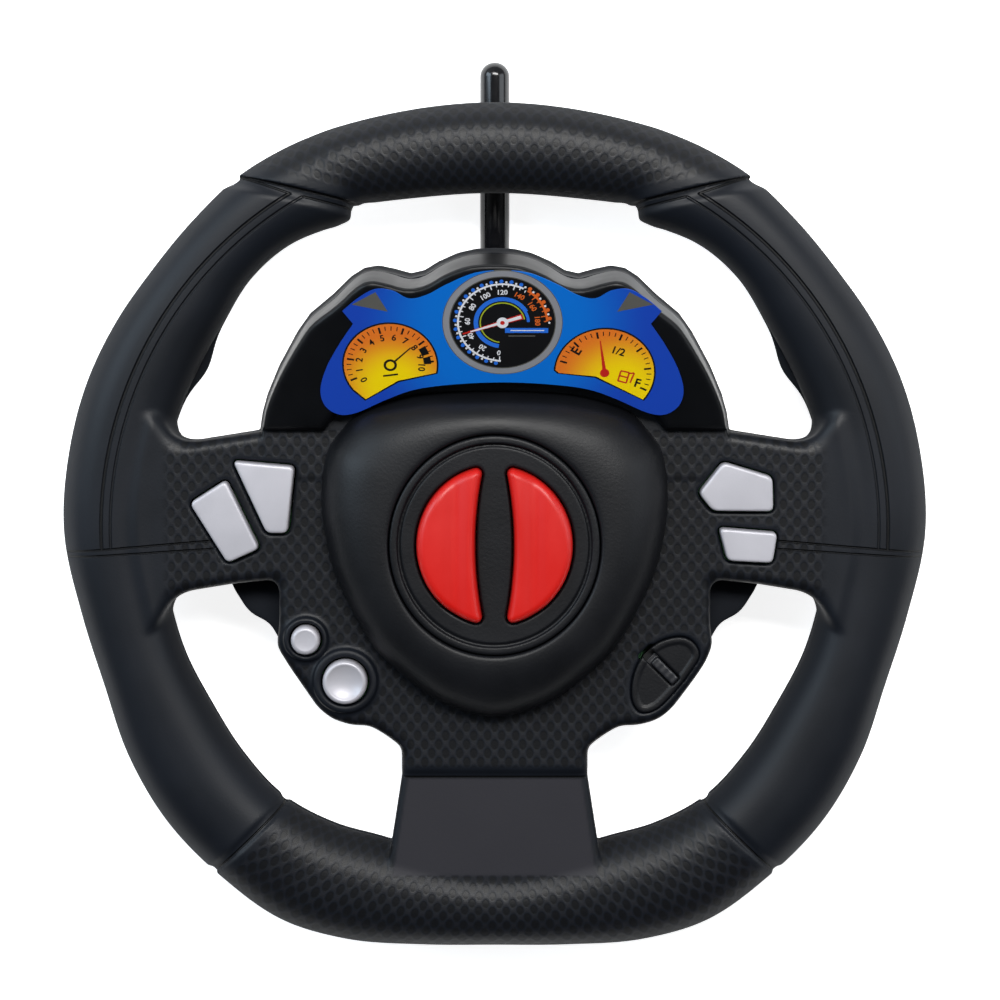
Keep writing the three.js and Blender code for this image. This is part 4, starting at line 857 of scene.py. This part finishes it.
# ------------------------------------------------------------------ cushion, bezel and buttons
PAD_HALF = [
    (0, 29.1), (9, 28.9), (17.4, 28.1), (26.6, 25.3), (31.8, 20.6), (34.7, 15.4), (35.6, 6), (34.3, -3.5),
    (31.9, -11), (25.9, -22.4), (20.7, -28.1), (13.6, -33.8), (7.2, -36.8), (0, -38.4),
]


PAD_HOLE = (21.65, 22.65)
PAD_FULLNESS = 2.2  # 2 would be a plain quarter ellipse from foot to crown
PAD_CROWN = 0.93  # share of the way to the hole where the crown levels out
PAD_WALL = 2.0
PAD_LIP = 3.4


def make_cushion():
    """A hollow cushion: rings run from the outer foot over the crown, down the hole and back underneath."""
    outer = flowing(mirrored(PAD_HALF), 10) - np.array([0, BEZEL_Y])
    angles = np.arctan2(outer[:, 1], outer[:, 0])
    hole = np.stack([PAD_HOLE[0] * np.cos(angles), PAD_HOLE[1] * np.sin(angles)], 1)
    rings = []

    def ring(towards_hole, height, grow=0.0):
        flat = outer * (1 - towards_hole) + hole * towards_hole
        outwards = flat / np.linalg.norm(flat, axis=1)[:, None]
        flat = flat + outwards * grow
        rings.append(np.column_stack([flat[:, 0], flat[:, 1] + BEZEL_Y, np.full(len(flat), SEAT_Z + height)]))

    def dome(height, angles, grow=0.0):
        for angle in angles:
            reach = math.cos(angle) ** (2 / PAD_FULLNESS)
            ring((1 - reach) * PAD_CROWN, math.sin(angle) ** (2 / PAD_FULLNESS) * height, grow)

    dome(PAD_HEIGHT, np.linspace(0, math.pi / 2, 30))
    for towards_hole, drop in ((0.97, 0.08), (0.99, 0.3), (1.0, 0.7), (1.0, 3.0), (0.97, PAD_LIP)):
        ring(towards_hole, PAD_HEIGHT - drop)
    dome(PAD_HEIGHT - PAD_LIP, np.linspace(math.pi / 2, 0, 12), -PAD_WALL)
    count = len(outer)
    points = np.concatenate(rings)
    total = len(rings)
    faces = []
    for r in range(total):
        s = (r + 1) % total
        for i in range(count):
            j = (i + 1) % count
            faces.append((r * count + i, s * count + i, s * count + j, r * count + j))
    pad = mesh_piece("cushion", points, faces)
    face_outwards(pad)
    return finish(pad, "pad", "housing", "hub_pad", slot="shell_plastic")


BEZEL_RADII, STEP_RADII = (21.4, 22.4), (19.7, 20.7)
BUTTON_TOP = BEZEL_TOP + 2.6


def bezel_field(x, y, z):
    """The oval bezel: a step round its edge, a groove in the step, hollow below, two half-moon windows."""
    solid = slab(oval(x, y, (0, BEZEL_Y), BEZEL_RADII), z, SEAT_Z, BEZEL_TOP, 0.5)
    step = oval(x, y, (0, BEZEL_Y), STEP_RADII)
    solid = cut(solid, slab(step, z, BEZEL_TOP - 0.5, BEZEL_TOP + 6, 0.2), 0.25)
    solid = cut(solid, np.hypot(step + 0.25, z - BEZEL_TOP + 0.45) - 0.42, 0.2)
    solid = cut(solid, slab(step, z, SEAT_Z - 5, BEZEL_TOP - 2.3, 0.3), 0.3)
    for moon in MOONS.values():
        solid = cut(solid, slab(moon(x, y) - MOON_CORNER - 0.35, z, SEAT_Z, BEZEL_TOP + 5, 0.2), 0.5)
    return solid


def red_button_field(side):
    """A half-moon button with a shallow valley along it and a faint crown."""
    moon = MOONS[side]

    def field(x, y, z):
        plan = moon(x, y) - MOON_CORNER
        valley = 0.75 * np.exp(-(((np.abs(x) - 8.0) / 2.1) ** 2))
        crown = 0.5 * ((x / 16) ** 2 + ((y - BEZEL_Y) / 16) ** 2)
        return slab(plan + 0.05 * (z - 38), z + valley + crown * 0.8, 32.0, BUTTON_TOP, 1.5)

    return field


def make_hub_controls():
    bezel = mould("bezel_ring", bezel_field, (-21.6, -24.4, 27.0), (21.6, 20.8, 38.4), 0.3)
    finish(bezel, "pad", "housing", "button_bezel", slot="shell_plastic")
    for side, name in ((-1, "red_button_left"), (1, "red_button_right")):
        x0, x1 = (-16.2, -2.2) if side < 0 else (2.2, 16.2)
        button = mould(name + "_cap", red_button_field(side), (x0, -18.4, 31.8), (x1, 14.8, 41.0), 0.3)
        finish(button, "red", name + "_body", name, slot="red_plastic")


def key_field(name):
    """A flat key with a faint crown and draught sides."""
    centre = np.mean(KEYS[name], 0)
    plan = KEY_FIELDS[name]

    def field(x, y, z):
        crown = 0.0035 * ((x - centre[0]) ** 2 + (y - centre[1]) ** 2)
        return slab(plan(x, y) + 0.03 * (z - 27), z + crown, KEY_FOOT_Z, DECK_Z + 2.0, 0.45)

    return field


def make_silver_keys():
    for name, outline in KEYS.items():
        p = np.array(outline)
        low, high = p.min(0), p.max(0)
        key = mould(name + "_cap", key_field(name), (*low, 24.0), (*high, 29.2), 0.28)
        finish(key, "silver", name + "_body", name, slot="silver_paint")
    for name, (centre, radius, boss) in ROUND_KEYS.items():
        dish = 1.0 if name.endswith("large") else 0.15
        top = DECK_Z + 2.9
        profile = [(0, KEY_FOOT_Z), (radius, KEY_FOOT_Z), (radius, top - 0.8)]
        profile += [(radius - 0.25, top - 0.25), (radius - 0.8, top)]
        bowl = [(r * (radius - 0.8), top - dish * (1 - r**2) ** 0.9) for r in np.linspace(0.93, 0, 12)]
        key = turned(name + "_cap", crisp(profile, 0.4) + bowl, (*centre, 0))
        finish(key, "silver", name + "_body", name, slot="silver_paint")


def make_power_switch():
    def plate(x, y, z):
        along, aside = along_slot(x, y)
        edge = SWITCH_PLATE(x, y)
        dip = 0.25 * ease(edge, -0.9, -1.6)
        solid = slab(edge, z + dip, 26.1, 27.35, 0.25)
        return cut(solid, slab(block(along, aside, (0, 0), (4.3, 1.25), 0.6), z, 24.0, 30.0, 0.2), 0.35)

    piece = mould("switch_cover", plate, (28.2, -37.8, 26.0), (42.6, -21.6, 27.6), 0.25)
    finish(piece, "pad", "housing", "switch_plate", slot="shell_plastic")

    def knob(x, y, z):
        along, aside = along_slot(x, y)
        ribs = 0.03 * np.cos(along * 2 * np.pi / 1.5)
        grip = slab(block(along, aside, (0.9, 0), (3.1, 0.95), 0.4), z + ribs, 25.3, 27.6, 0.25)
        shutter = slab(block(along, aside, (0.9, 0), (4.0, 1.7), 0.3), z, 25.3, 25.9, 0.1)
        return np.minimum(grip, shutter)

    slider = mould("power_slider", knob, (30.6, -33.4, 25.2), (39.6, -24.4, 28.7), 0.2)
    finish(slider, "slider", "power_switch_knob_body", "power_switch_knob", slot="shell_plastic")


# ------------------------------------------------------------------ dash cowl and its sticker
def cowl_field(x, y, z):
    wall = DASH(x, y) + DASH_DRAFT * (z - PARTING_Z)
    wall = -blend(-wall, z - SEAT_Z, 0.3)
    lean_y, lean_z = y - DASH_FOOT[0], z - DASH_FOOT[1]
    height = lean_z * math.cos(DASH_LEAN) - lean_y * math.sin(DASH_LEAN)
    return np.maximum(-blend(-wall, -height, 1.5), z - COWL_TOP_Z)


def on_face(x, up, lift):
    """A point on the sloping face: across, up the slope, and above it."""
    y = DASH_FOOT[0] + up * math.cos(DASH_LEAN) - lift * math.sin(DASH_LEAN)
    z = DASH_FOOT[1] + up * math.sin(DASH_LEAN) + lift * math.cos(DASH_LEAN)
    return (x, y, z)


FILM_FOOT, FILM_TOP, LAYER_RISE = 0.06, 0.26, 0.008  # heights above the sloping face
LABEL_SHIFT = 1.5
LABEL_HALF = [
    (0, 14.8), (9, 14.4), (17.4, 13.2), (23.5, 10.8), (29.5, 7.8), (33.2, 7.3), (36, 9.3), (36.9, 13),
    (35.6, 18), (32.9, 23.4), (29.9, 28.2), (32, 31.1), (28.8, 34), (25.4, 36), (21.9, 35.7), (18.6, 33.9),
    (15.1, 34.7), (11, 37.1), (5.5, 39.6), (0, 40.2),
]


def label_outline():
    """Flows round the lobes and keeps the two sharp corners under the marker triangles."""
    half = np.array(LABEL_HALF, float)
    runs = [half[:11], half[10:12], half[11:]]
    out = []
    for run in runs:
        p = np.vstack([2 * run[0] - run[1], run, 2 * run[-1] - run[-2]])
        if run is runs[0]:
            p[0] = run[1] * np.array([-1, 1])
        if run is runs[2]:
            p[-1] = run[-2] * np.array([-1, 1])
        for a, b, c, d in zip(p, p[1:], p[2:], p[3:]):
            for t in np.linspace(0, 1, 7)[:-1]:
                out.append(spline(a, b, c, d, t))
    out.append(half[-1])
    out = np.array(out)
    left = out[1:-1][::-1] * np.array([-1, 1])
    return np.concatenate([out, left]) + np.array([LABEL_SHIFT, 0])


def polar(centre, reach, angle):
    """The point a reach from a centre; the reach may be an (across, up) pair, and the angle is in radians."""
    across, up = np.broadcast_to(reach, 2)
    return (centre[0] + across * math.cos(angle), centre[1] + up * math.sin(angle))


class Sticker:
    """Collects the printed shapes of one sheet, each a thin raised film in its own ink."""

    def __init__(self):
        self.points, self.faces, self.inks, self.names = [], [], [], []

    def film(self, flat, ink, layer, faces=None):
        """flat is a list of (across, up) points; each layer lies a hair above the one before."""
        base, count = len(self.points), len(flat)
        for lift in (FILM_TOP + LAYER_RISE * layer, FILM_FOOT):
            self.points += [on_face(x, up, lift) for x, up in flat]
        if ink not in self.names:
            self.names.append(ink)
        slot = self.names.index(ink)
        for face in faces or [tuple(range(count))]:
            self.faces.append(tuple(base + i for i in face))
            self.faces.append(tuple(base + count + i for i in reversed(face)))
            self.inks += [slot, slot]
        if faces is None:
            for i in range(count):
                j = (i + 1) % count
                self.faces.append((base + i, base + count + i, base + count + j, base + j))
                self.inks.append(slot)

    def band(self, centre, inner, outer, start, end, ink, layer, steps=40):
        """A curved band; radii are (across, up) pairs or single numbers, angles in degrees."""
        angles = np.radians(np.linspace(start, end, steps))
        for a, b in zip(angles, angles[1:]):
            quad = [(inner, a), (outer, a), (outer, b), (inner, b)]
            self.film([polar(centre, reach, angle) for reach, angle in quad], ink, layer)

    def disc(self, centre, radius, ink, layer, steps=64):
        angles = np.linspace(0, 2 * np.pi, steps, endpoint=False)
        self.film([polar(centre, radius, angle) for angle in angles], ink, layer)

    def stroke(self, a, b, width, ink, layer, end_width=None):
        a, b = np.array(a, float), np.array(b, float)
        along = (b - a) / np.linalg.norm(b - a)
        side = np.array([-along[1], along[0]])
        tip = width if end_width is None else end_width
        half, half_tip = side * width / 2, side * tip / 2
        self.film([a - half, b - half_tip, b + half_tip, a + half], ink, layer)

    def figure(self, text, at, size, turn, ink, layer):
        """A number or letter centred at a point, turned by degrees."""
        curve = bpy.data.curves.new("figure", "FONT")
        curve.body = text
        curve.size = size
        curve.align_x = "CENTER"
        curve.align_y = "CENTER"
        curve.resolution_u = 3
        curve.offset = 0.025 * size
        shape = bpy.data.objects.new("figure", curve)
        bpy.context.scene.collection.objects.link(shape)
        bpy.context.view_layer.update()
        mesh = bpy.data.meshes.new_from_object(shape)
        c, s = math.cos(math.radians(turn)), math.sin(math.radians(turn))
        flat = [(at[0] + v.co.x * c - v.co.y * s, at[1] + v.co.x * s + v.co.y * c) for v in mesh.vertices]
        if flat:
            self.film(flat, ink, layer, [tuple(p.vertices) for p in mesh.polygons])
        bpy.data.objects.remove(shape)
        bpy.data.meshes.remove(mesh)

    def done(self, name):
        piece = mesh_piece(name, np.array(self.points), self.faces)
        piece.data.polygons.foreach_set("use_smooth", np.zeros(len(piece.data.polygons), bool))
        for ink in self.names:
            piece.data.materials.append(MATERIALS[ink])
        piece.data.polygons.foreach_set("material_index", np.array(self.inks, np.int32))
        return piece


def grow(points, by):
    """The outline pushed out from its middle."""
    centre = np.mean(points, 0)
    arms = np.array(points) - centre
    return [tuple(centre + arm * (1 + by / np.linalg.norm(arm))) for arm in arms]


SPEED_MIDDLE = (1.6, 28.5)
SPEED_SQUASH = 0.975  # the dial is a little lower than it is wide
HOT_BELOW = 58  # degrees: the fast end of the scale is printed in orange


def draw_speedometer(sheet):
    cx, cy = middle = SPEED_MIDDLE

    def spot(degrees, reach):
        return polar(middle, (reach, SPEED_SQUASH * reach), math.radians(degrees))

    sheet.disc(middle, (12.1, 11.8), "ink_grey", 1)
    sheet.disc(middle, (11.95, 11.65), "ink_silver", 2)
    sheet.disc(middle, (10.75, 10.45), "ink_grey", 3)
    sheet.disc(middle, (10.55, 10.25), "ink_black", 4)
    sheet.band(middle, (8.75, 8.5), (9.15, 8.9), 62, 268, "ink_white", 5, 60)
    sheet.band(middle, (8.75, 8.5), (9.25, 9.0), 2, 56, "ink_orange", 5, 20)
    for i in range(34):
        degrees = 266 - i * 264 / 33
        ink = "ink_orange" if degrees < HOT_BELOW else "ink_white"
        sheet.stroke(spot(degrees, 7.9 if i % 4 == 0 else 8.3), spot(degrees, 8.8), 0.22, ink, 6)
    for i in range(22):
        degrees = 262 - i * 256 / 21
        sheet.disc(spot(degrees, 9.55), 0.42, "ink_orange" if degrees < HOT_BELOW else "ink_blue", 6, 10)
        sheet.disc(spot(degrees - 6, 9.4), 0.24, "ink_white", 7, 8)
    for i in range(10):
        degrees = 264 - i * 260 / 9
        ink = "ink_orange" if i > 6 else "ink_white"
        sheet.figure(str(20 * i), spot(degrees, 7.0), 1.5, degrees - 90, ink, 6)
    sheet.band(middle, 4.9, 5.8, 28, 262, "ink_blue", 5, 50)
    sheet.band(middle, 4.9, 5.5, 2, 28, "ink_blue", 5)
    sheet.band(middle, 4.35, 4.6, 10, 262, "ink_green", 6, 50)
    for left, low, right, high, ink in (
        (0.5, -2.3, 9.2, -1.2, "ink_blue"), (1.6, -1.85, 8.4, -1.65, "ink_white"),
        (1.2, -3.1, 6.6, -2.9, "ink_grey"),
    ):
        corners = [(left, low), (right, low), (right, high), (left, high)]
        sheet.film([(cx + x, cy + up) for x, up in corners], ink, 8 if ink == "ink_white" else 7)
    sheet.stroke(spot(20, 4.3), spot(198, 8.4), 1.25, "ink_red", 9, 0.3)
    sheet.stroke(spot(20, 4.0), spot(198, 6.8), 0.75, "ink_white", 10, 0.3)
    sheet.disc(middle, 1.2, "ink_white", 11, 24)
    sheet.disc(middle, 0.45, "ink_red", 12, 20)


def draw_side_gauge(sheet, dial, pivot, radius, start, end, foot, marks, blocks=()):
    """A fan-shaped dial with ticks, dark blocks of scale and marks of (text, angle, reach, size, turn)."""
    outline = [polar(pivot, radius, a) for a in np.radians(np.linspace(start, end, 44))] + foot
    sheet.film(grow(outline, 0.38), "ink_black", 1)
    sheet.film(outline, dial, 2)
    count = 25
    for i in range(count):
        a = math.radians(start + (end - start) * (0.06 + 0.88 * i / (count - 1)))
        long = i % 4 == 0
        inner, width = (radius - 2.0, 0.42) if long else (radius - 1.5, 0.2)
        sheet.stroke(polar(pivot, inner, a), polar(pivot, radius - 0.55, a), width, "ink_black", 3)
    for text, degrees, reach, size, turn in marks:
        sheet.figure(text, polar(pivot, reach, math.radians(degrees)), size, turn, "ink_black", 3)
    for a0, a1 in blocks:
        sheet.band(pivot, radius - 2.6, radius - 1.1, a0, a1, "ink_black", 4, 6)


def make_dash():
    cowl = mould("dash_cowl", cowl_field, (-49.4, 19.4, 27.0), (49.4, 58.6, 46.4), 0.5)
    finish(cowl, "cowl", "housing", "dash_housing", slot="shell_plastic")
    sheet = Sticker()
    sheet.film([tuple(p) for p in label_outline()], "blue", 0)
    draw_speedometer(sheet)
    left = (-21.1, 18.8)
    draw_side_gauge(
        sheet, "left_dial", left, 9.4, -8, 217, [(-26.2, 10.9), (-19.6, 15.2), (-11.9, 17.0)],
        [(str(n), 212 - 21.6 * n, 6.3, 1.95, 122 - 21.6 * n) for n in range(11)], [(2, 14), (18, 32)],
    )
    sheet.stroke(left, (-16.9, 22.8), 0.4, "ink_black", 5, 0.25)
    sheet.disc(left, 1.35, "ink_black", 6, 24)
    sheet.disc(left, 0.85, "left_dial", 7, 24)
    sheet.film([(-22.6, 16.1), (-19.6, 16.5), (-19.6, 16.9), (-22.6, 16.5)], "ink_black", 4)
    right = (22.3, 17.0)
    draw_side_gauge(
        sheet, "right_dial", right, 10.0, -38, 176, [(13.0, 17.0), (20.5, 16.2)],
        [("E", 139, 7.6, 2.9, 58), ("1/2", 62, 5.6, 2.3, -18), ("F", -20, 7.1, 2.7, -16)],
    )
    sheet.stroke(right, (21.3, 24.4), 0.8, "ink_red", 5, 0.2)
    sheet.disc(right, 0.95, "ink_red", 6, 24)
    # the pump symbol: tank, window bar and hose
    tank = [(25.0, 15.2), (26.7, 14.7), (27.3, 17.1), (25.6, 17.5)]
    hose = [((25.3, 16.4), (27.0, 15.9)), ((27.5, 14.7), (28.3, 17.0)), ((27.3, 16.9), (28.3, 17.0))]
    for corner, far in list(zip(tank, tank[1:] + tank[:1])) + hose:
        sheet.stroke(corner, far, 0.32, "ink_red", 4)
    for side in (-1, 1):
        cx = SPEED_MIDDLE[0] + side * 26.6
        triangle = [(cx - 0.2 * side - 3.4 * side, 31.0), (cx + 3.6 * side, 32.6), (cx - 1.2 * side, 35.4)]
        sheet.film(triangle if side < 0 else triangle[::-1], "ink_grey", 2)
    finish(sheet.done("dash_sticker"), None, "housing", "dash_label", slot="printed_label")


# ------------------------------------------------------------------ antenna, door and screws
def make_antenna():
    r = ANTENNA_RADIUS
    profile = [(0, 27.5), (r - 0.4, 27.5), (r, 27.9), (r, 94.0)]
    profile += [(r * math.cos(a), 94.0 + 2.95 * math.sin(a)) for a in np.linspace(0.1, math.pi / 2, 12)]
    rod = turned("antenna_rod", profile, (0, 0, ANTENNA_Z), 64, "y")
    finish(rod, "gloss", "housing", "antenna", slot="antenna_plastic")
    outer, inner = r + 1.1, r + 0.3
    rings = [(inner, 51.2), (outer, 51.2), (outer, 53.2), (outer - 0.5, 53.8), (inner, 53.8), (inner, 51.2)]
    collar = turned("antenna_ferrule", crisp(rings, 0.25), (0, 0, ANTENNA_Z), 64, "y")
    finish(collar, "gloss", "housing", "antenna_collar", slot="antenna_plastic")


RIB_PITCH = 3.0


def make_door():
    def field(x, y, z):
        leaf = block(x, y, (0, BOX_Y), (BOX_HALF[0] + 1.2, BOX_HALF[1] + 1.2), 2.0)
        solid = slab(np.minimum(leaf, disc(x, y, DOOR_EAR, 2.9)), z, 0.01, 1.8, 0.3)
        # finger ribs pressed into the outside
        ribs = np.abs(np.mod(x + RIB_PITCH / 2, RIB_PITCH) - RIB_PITCH / 2) - 0.5
        patch = np.maximum(np.abs(x) - 12, np.abs(y - 7.5) - 3.4)
        solid = cut(solid, np.maximum(np.maximum(ribs, patch), z - 0.5), 0.3)
        solid = cut(solid, slab(disc(x, y, DOOR_EAR, 2.1), z, -3.0, 1.0, 0.1), 0.3)
        return cut(solid, slab(disc(x, y, DOOR_EAR, 1.45), z, -3.0, 5.0, 0.1), 0.2)

    door = mould("battery_cover", field, (-31.8, -23.6, 0.0), (31.8, 14.3, 1.8), 0.4)
    plain_shell(door)
    finish(door, "shell", "housing", "battery_door", slot="shell_plastic")


THREAD_PITCH = 1.0
SHANK_HIDDEN = 12.3  # the full shank, past where any screw is cut off
SHANK_RADIUS, THREAD_DEPTH = 1.25, 0.12
CROSS_HALF = 0.32  # half the width of the driver's cross


def make_screw(name, piece_name, centre, base, radius, height, length, room, step):
    """A cross-head screw, head down, cut off where its thread runs into solid plastic."""
    def field(x, y, z):
        dx, dy = x - centre[0], y - centre[1]
        r = np.hypot(dx, dy)
        dome = 0.12 * r**2 / radius
        head = slab(r - radius, z - dome, base, base + height, 0.3)
        thread = THREAD_DEPTH * np.cos(2 * np.pi * z / THREAD_PITCH)
        shank = slab(r - SHANK_RADIUS + thread, z, base + height - 0.5, base + SHANK_HIDDEN, 0.3)
        arms = np.minimum(
            np.maximum(np.abs(dx) - radius * 0.62, np.abs(dy) - CROSS_HALF),
            np.maximum(np.abs(dy) - radius * 0.62, np.abs(dx) - CROSS_HALF),
        )
        solid = cut(blend(head, shank, 0.2), np.maximum(arms, z - base - height * 0.65), 0.1)
        return np.maximum(solid, z - base - length)

    low = (centre[0] - room, centre[1] - room, base)
    high = (centre[0] + room, centre[1] + room, base + length + 0.1)
    screw = mould(piece_name, field, low, high, step)
    finish(screw, "steel", "housing", name, slot="plated_steel")


def make_screws():
    for name, centre in CASE_SCREWS.items():
        make_screw(name, name + "_turned", centre, 10.65, 2.55, 1.8, 4.5, 2.7, 0.22)
    make_screw("battery_door_screw", "door_screw_turned", DOOR_EAR, 0.05, 1.8, 0.8, 3.95, 2.0, 0.18)


def finish_inner_parts():
    """The frame's own pieces inside the case keep their shape and get real materials."""
    for name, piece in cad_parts.items():
        if name.startswith("dome"):
            key = "rubber"
        elif name.startswith(("terminal", "contact", "crystal", "tuning")):
            key = "steel"
        elif name.startswith("battery_cell"):
            key = "jacket"
        elif name.startswith(("main_board", "key_board")):
            key = "board"
        elif name in ("control_chip", "power_switch_body"):
            key = "ink_black"
        elif name == "loading_coil":
            key = "copper"
        elif name == "lead_positive":
            key = "red_wire"
        elif name.endswith("lead") or name.startswith(("lead", "key_lead")):
            key = "black_wire"
        else:
            continue
        for slot in piece.material_slots:
            slot.material = MATERIALS[key]


# ------------------------------------------------------------------ stage
VIEW_TILT = math.radians(5)
VIEW_DISTANCE = 700.0
VIEW_WIDTH = 208.7  # millimetres across the picture at the rim
VIEW_CENTRE = (1.1, 5.75)


CAMERA_AIM_Z = 18.0
SENSOR_WIDTH = 36.0
TABLE_HALF = 1500
TENT = (  # world axis, where the ramp starts and ends, and its strength at both
    (2, 0.97, 0.55, 0.16, 0.5),
    (1, -0.5, 0.5, 0.14, 0.85),
    (0, 0.5, -0.7, 0.85, 1.25),
)


def make_stage():
    t = TABLE_HALF
    floor = mesh_piece("floor", [(-t, -t, 0), (t, -t, 0), (t, t, 0), (-t, t, 0)], [(0, 1, 2, 3)])
    floor.location.z = -0.02 * MM
    # opal acrylic lit from below keeps the shadows pale
    glow = {"Emission_Color": (1.0, 1.0, 1.0, 1.0), "Emission_Strength": 0.84}
    opal = moulded_material("opal_acrylic_table", "#f8f8f8", "#fdfdfd", 0.9, 3.0, 0.01, **glow)
    floor.data.materials.append(opal)

    scene = bpy.context.scene
    world = bpy.data.worlds.new("studio")
    scene.world = world
    world.use_nodes = True
    tree = world.node_tree
    tree.nodes.clear()
    # a light tent: dim overhead, bright walls, brightest beyond the top of the wheel and on its left
    direction = node(tree, "ShaderNodeTexCoord", output=0)
    split = tree.nodes.new("ShaderNodeSeparateXYZ")
    tree.links.new(direction, split.inputs[0])
    strength = None
    for axis, start, end, low, high in TENT:
        limits = {0: split.outputs[axis], 1: start, 2: end, 3: low, 4: high}
        ramp = node(tree, RANGE, limits, interpolation_type="SMOOTHSTEP")
        strength = ramp if strength is None else node(tree, MATH, {0: strength, 1: ramp}, operation="MULTIPLY")
    lit = node(tree, "ShaderNodeBackground", {"Color": (0.93, 0.96, 1.0, 1.0), "Strength": strength})
    node(tree, "ShaderNodeOutputWorld", {"Surface": lit})

    def softbox(name, at, aim, size, watts, colour):
        light = bpy.data.lights.new(name, "AREA")
        light.shape = "RECTANGLE"
        light.size, light.size_y = size
        light.energy = watts
        light.color = colour
        lamp = bpy.data.objects.new(name, light)
        lamp.location = at
        lamp.rotation_euler = (Vector(aim) - Vector(at)).to_track_quat("-Z", "Y").to_euler()
        scene.collection.objects.link(lamp)

    softbox("window_top", (0.08, 0.52, 1.05), (0, 0.02, 0.02), (0.8, 0.26), 14, (1.0, 0.99, 0.97))
    softbox("window_left", (-0.9, 0.4, 0.75), (0, 0, 0.02), (0.5, 0.8), 7, (0.7, 0.86, 1.0))
    softbox("window_right", (0.95, 0.2, 0.65), (0, 0, 0.02), (0.5, 0.8), 3.2, (0.88, 0.94, 1.0))

    lens = bpy.data.cameras.new("studio_camera")
    lens.sensor_width = SENSOR_WIDTH
    lens.lens = SENSOR_WIDTH * VIEW_DISTANCE / VIEW_WIDTH
    lens.clip_start, lens.clip_end = 0.01, 20.0
    camera = bpy.data.objects.new("studio_camera", lens)
    s, c = math.sin(VIEW_TILT), math.cos(VIEW_TILT)
    aim = Vector((VIEW_CENTRE[0], VIEW_CENTRE[1] * c, CAMERA_AIM_Z - VIEW_CENTRE[1] * s))
    camera.location = (aim + VIEW_DISTANCE * Vector((0, s, c))) * MM
    camera.rotation_euler = (-VIEW_TILT, 0, 0)
    scene.collection.objects.link(camera)
    scene.camera = camera
    scene.view_settings.view_transform = "Standard"


make_stage()
make_front()
make_back()
make_cushion()
make_hub_controls()
make_silver_keys()
make_power_switch()
make_dash()
make_antenna()
make_door()
make_screws()
finish_inner_parts()
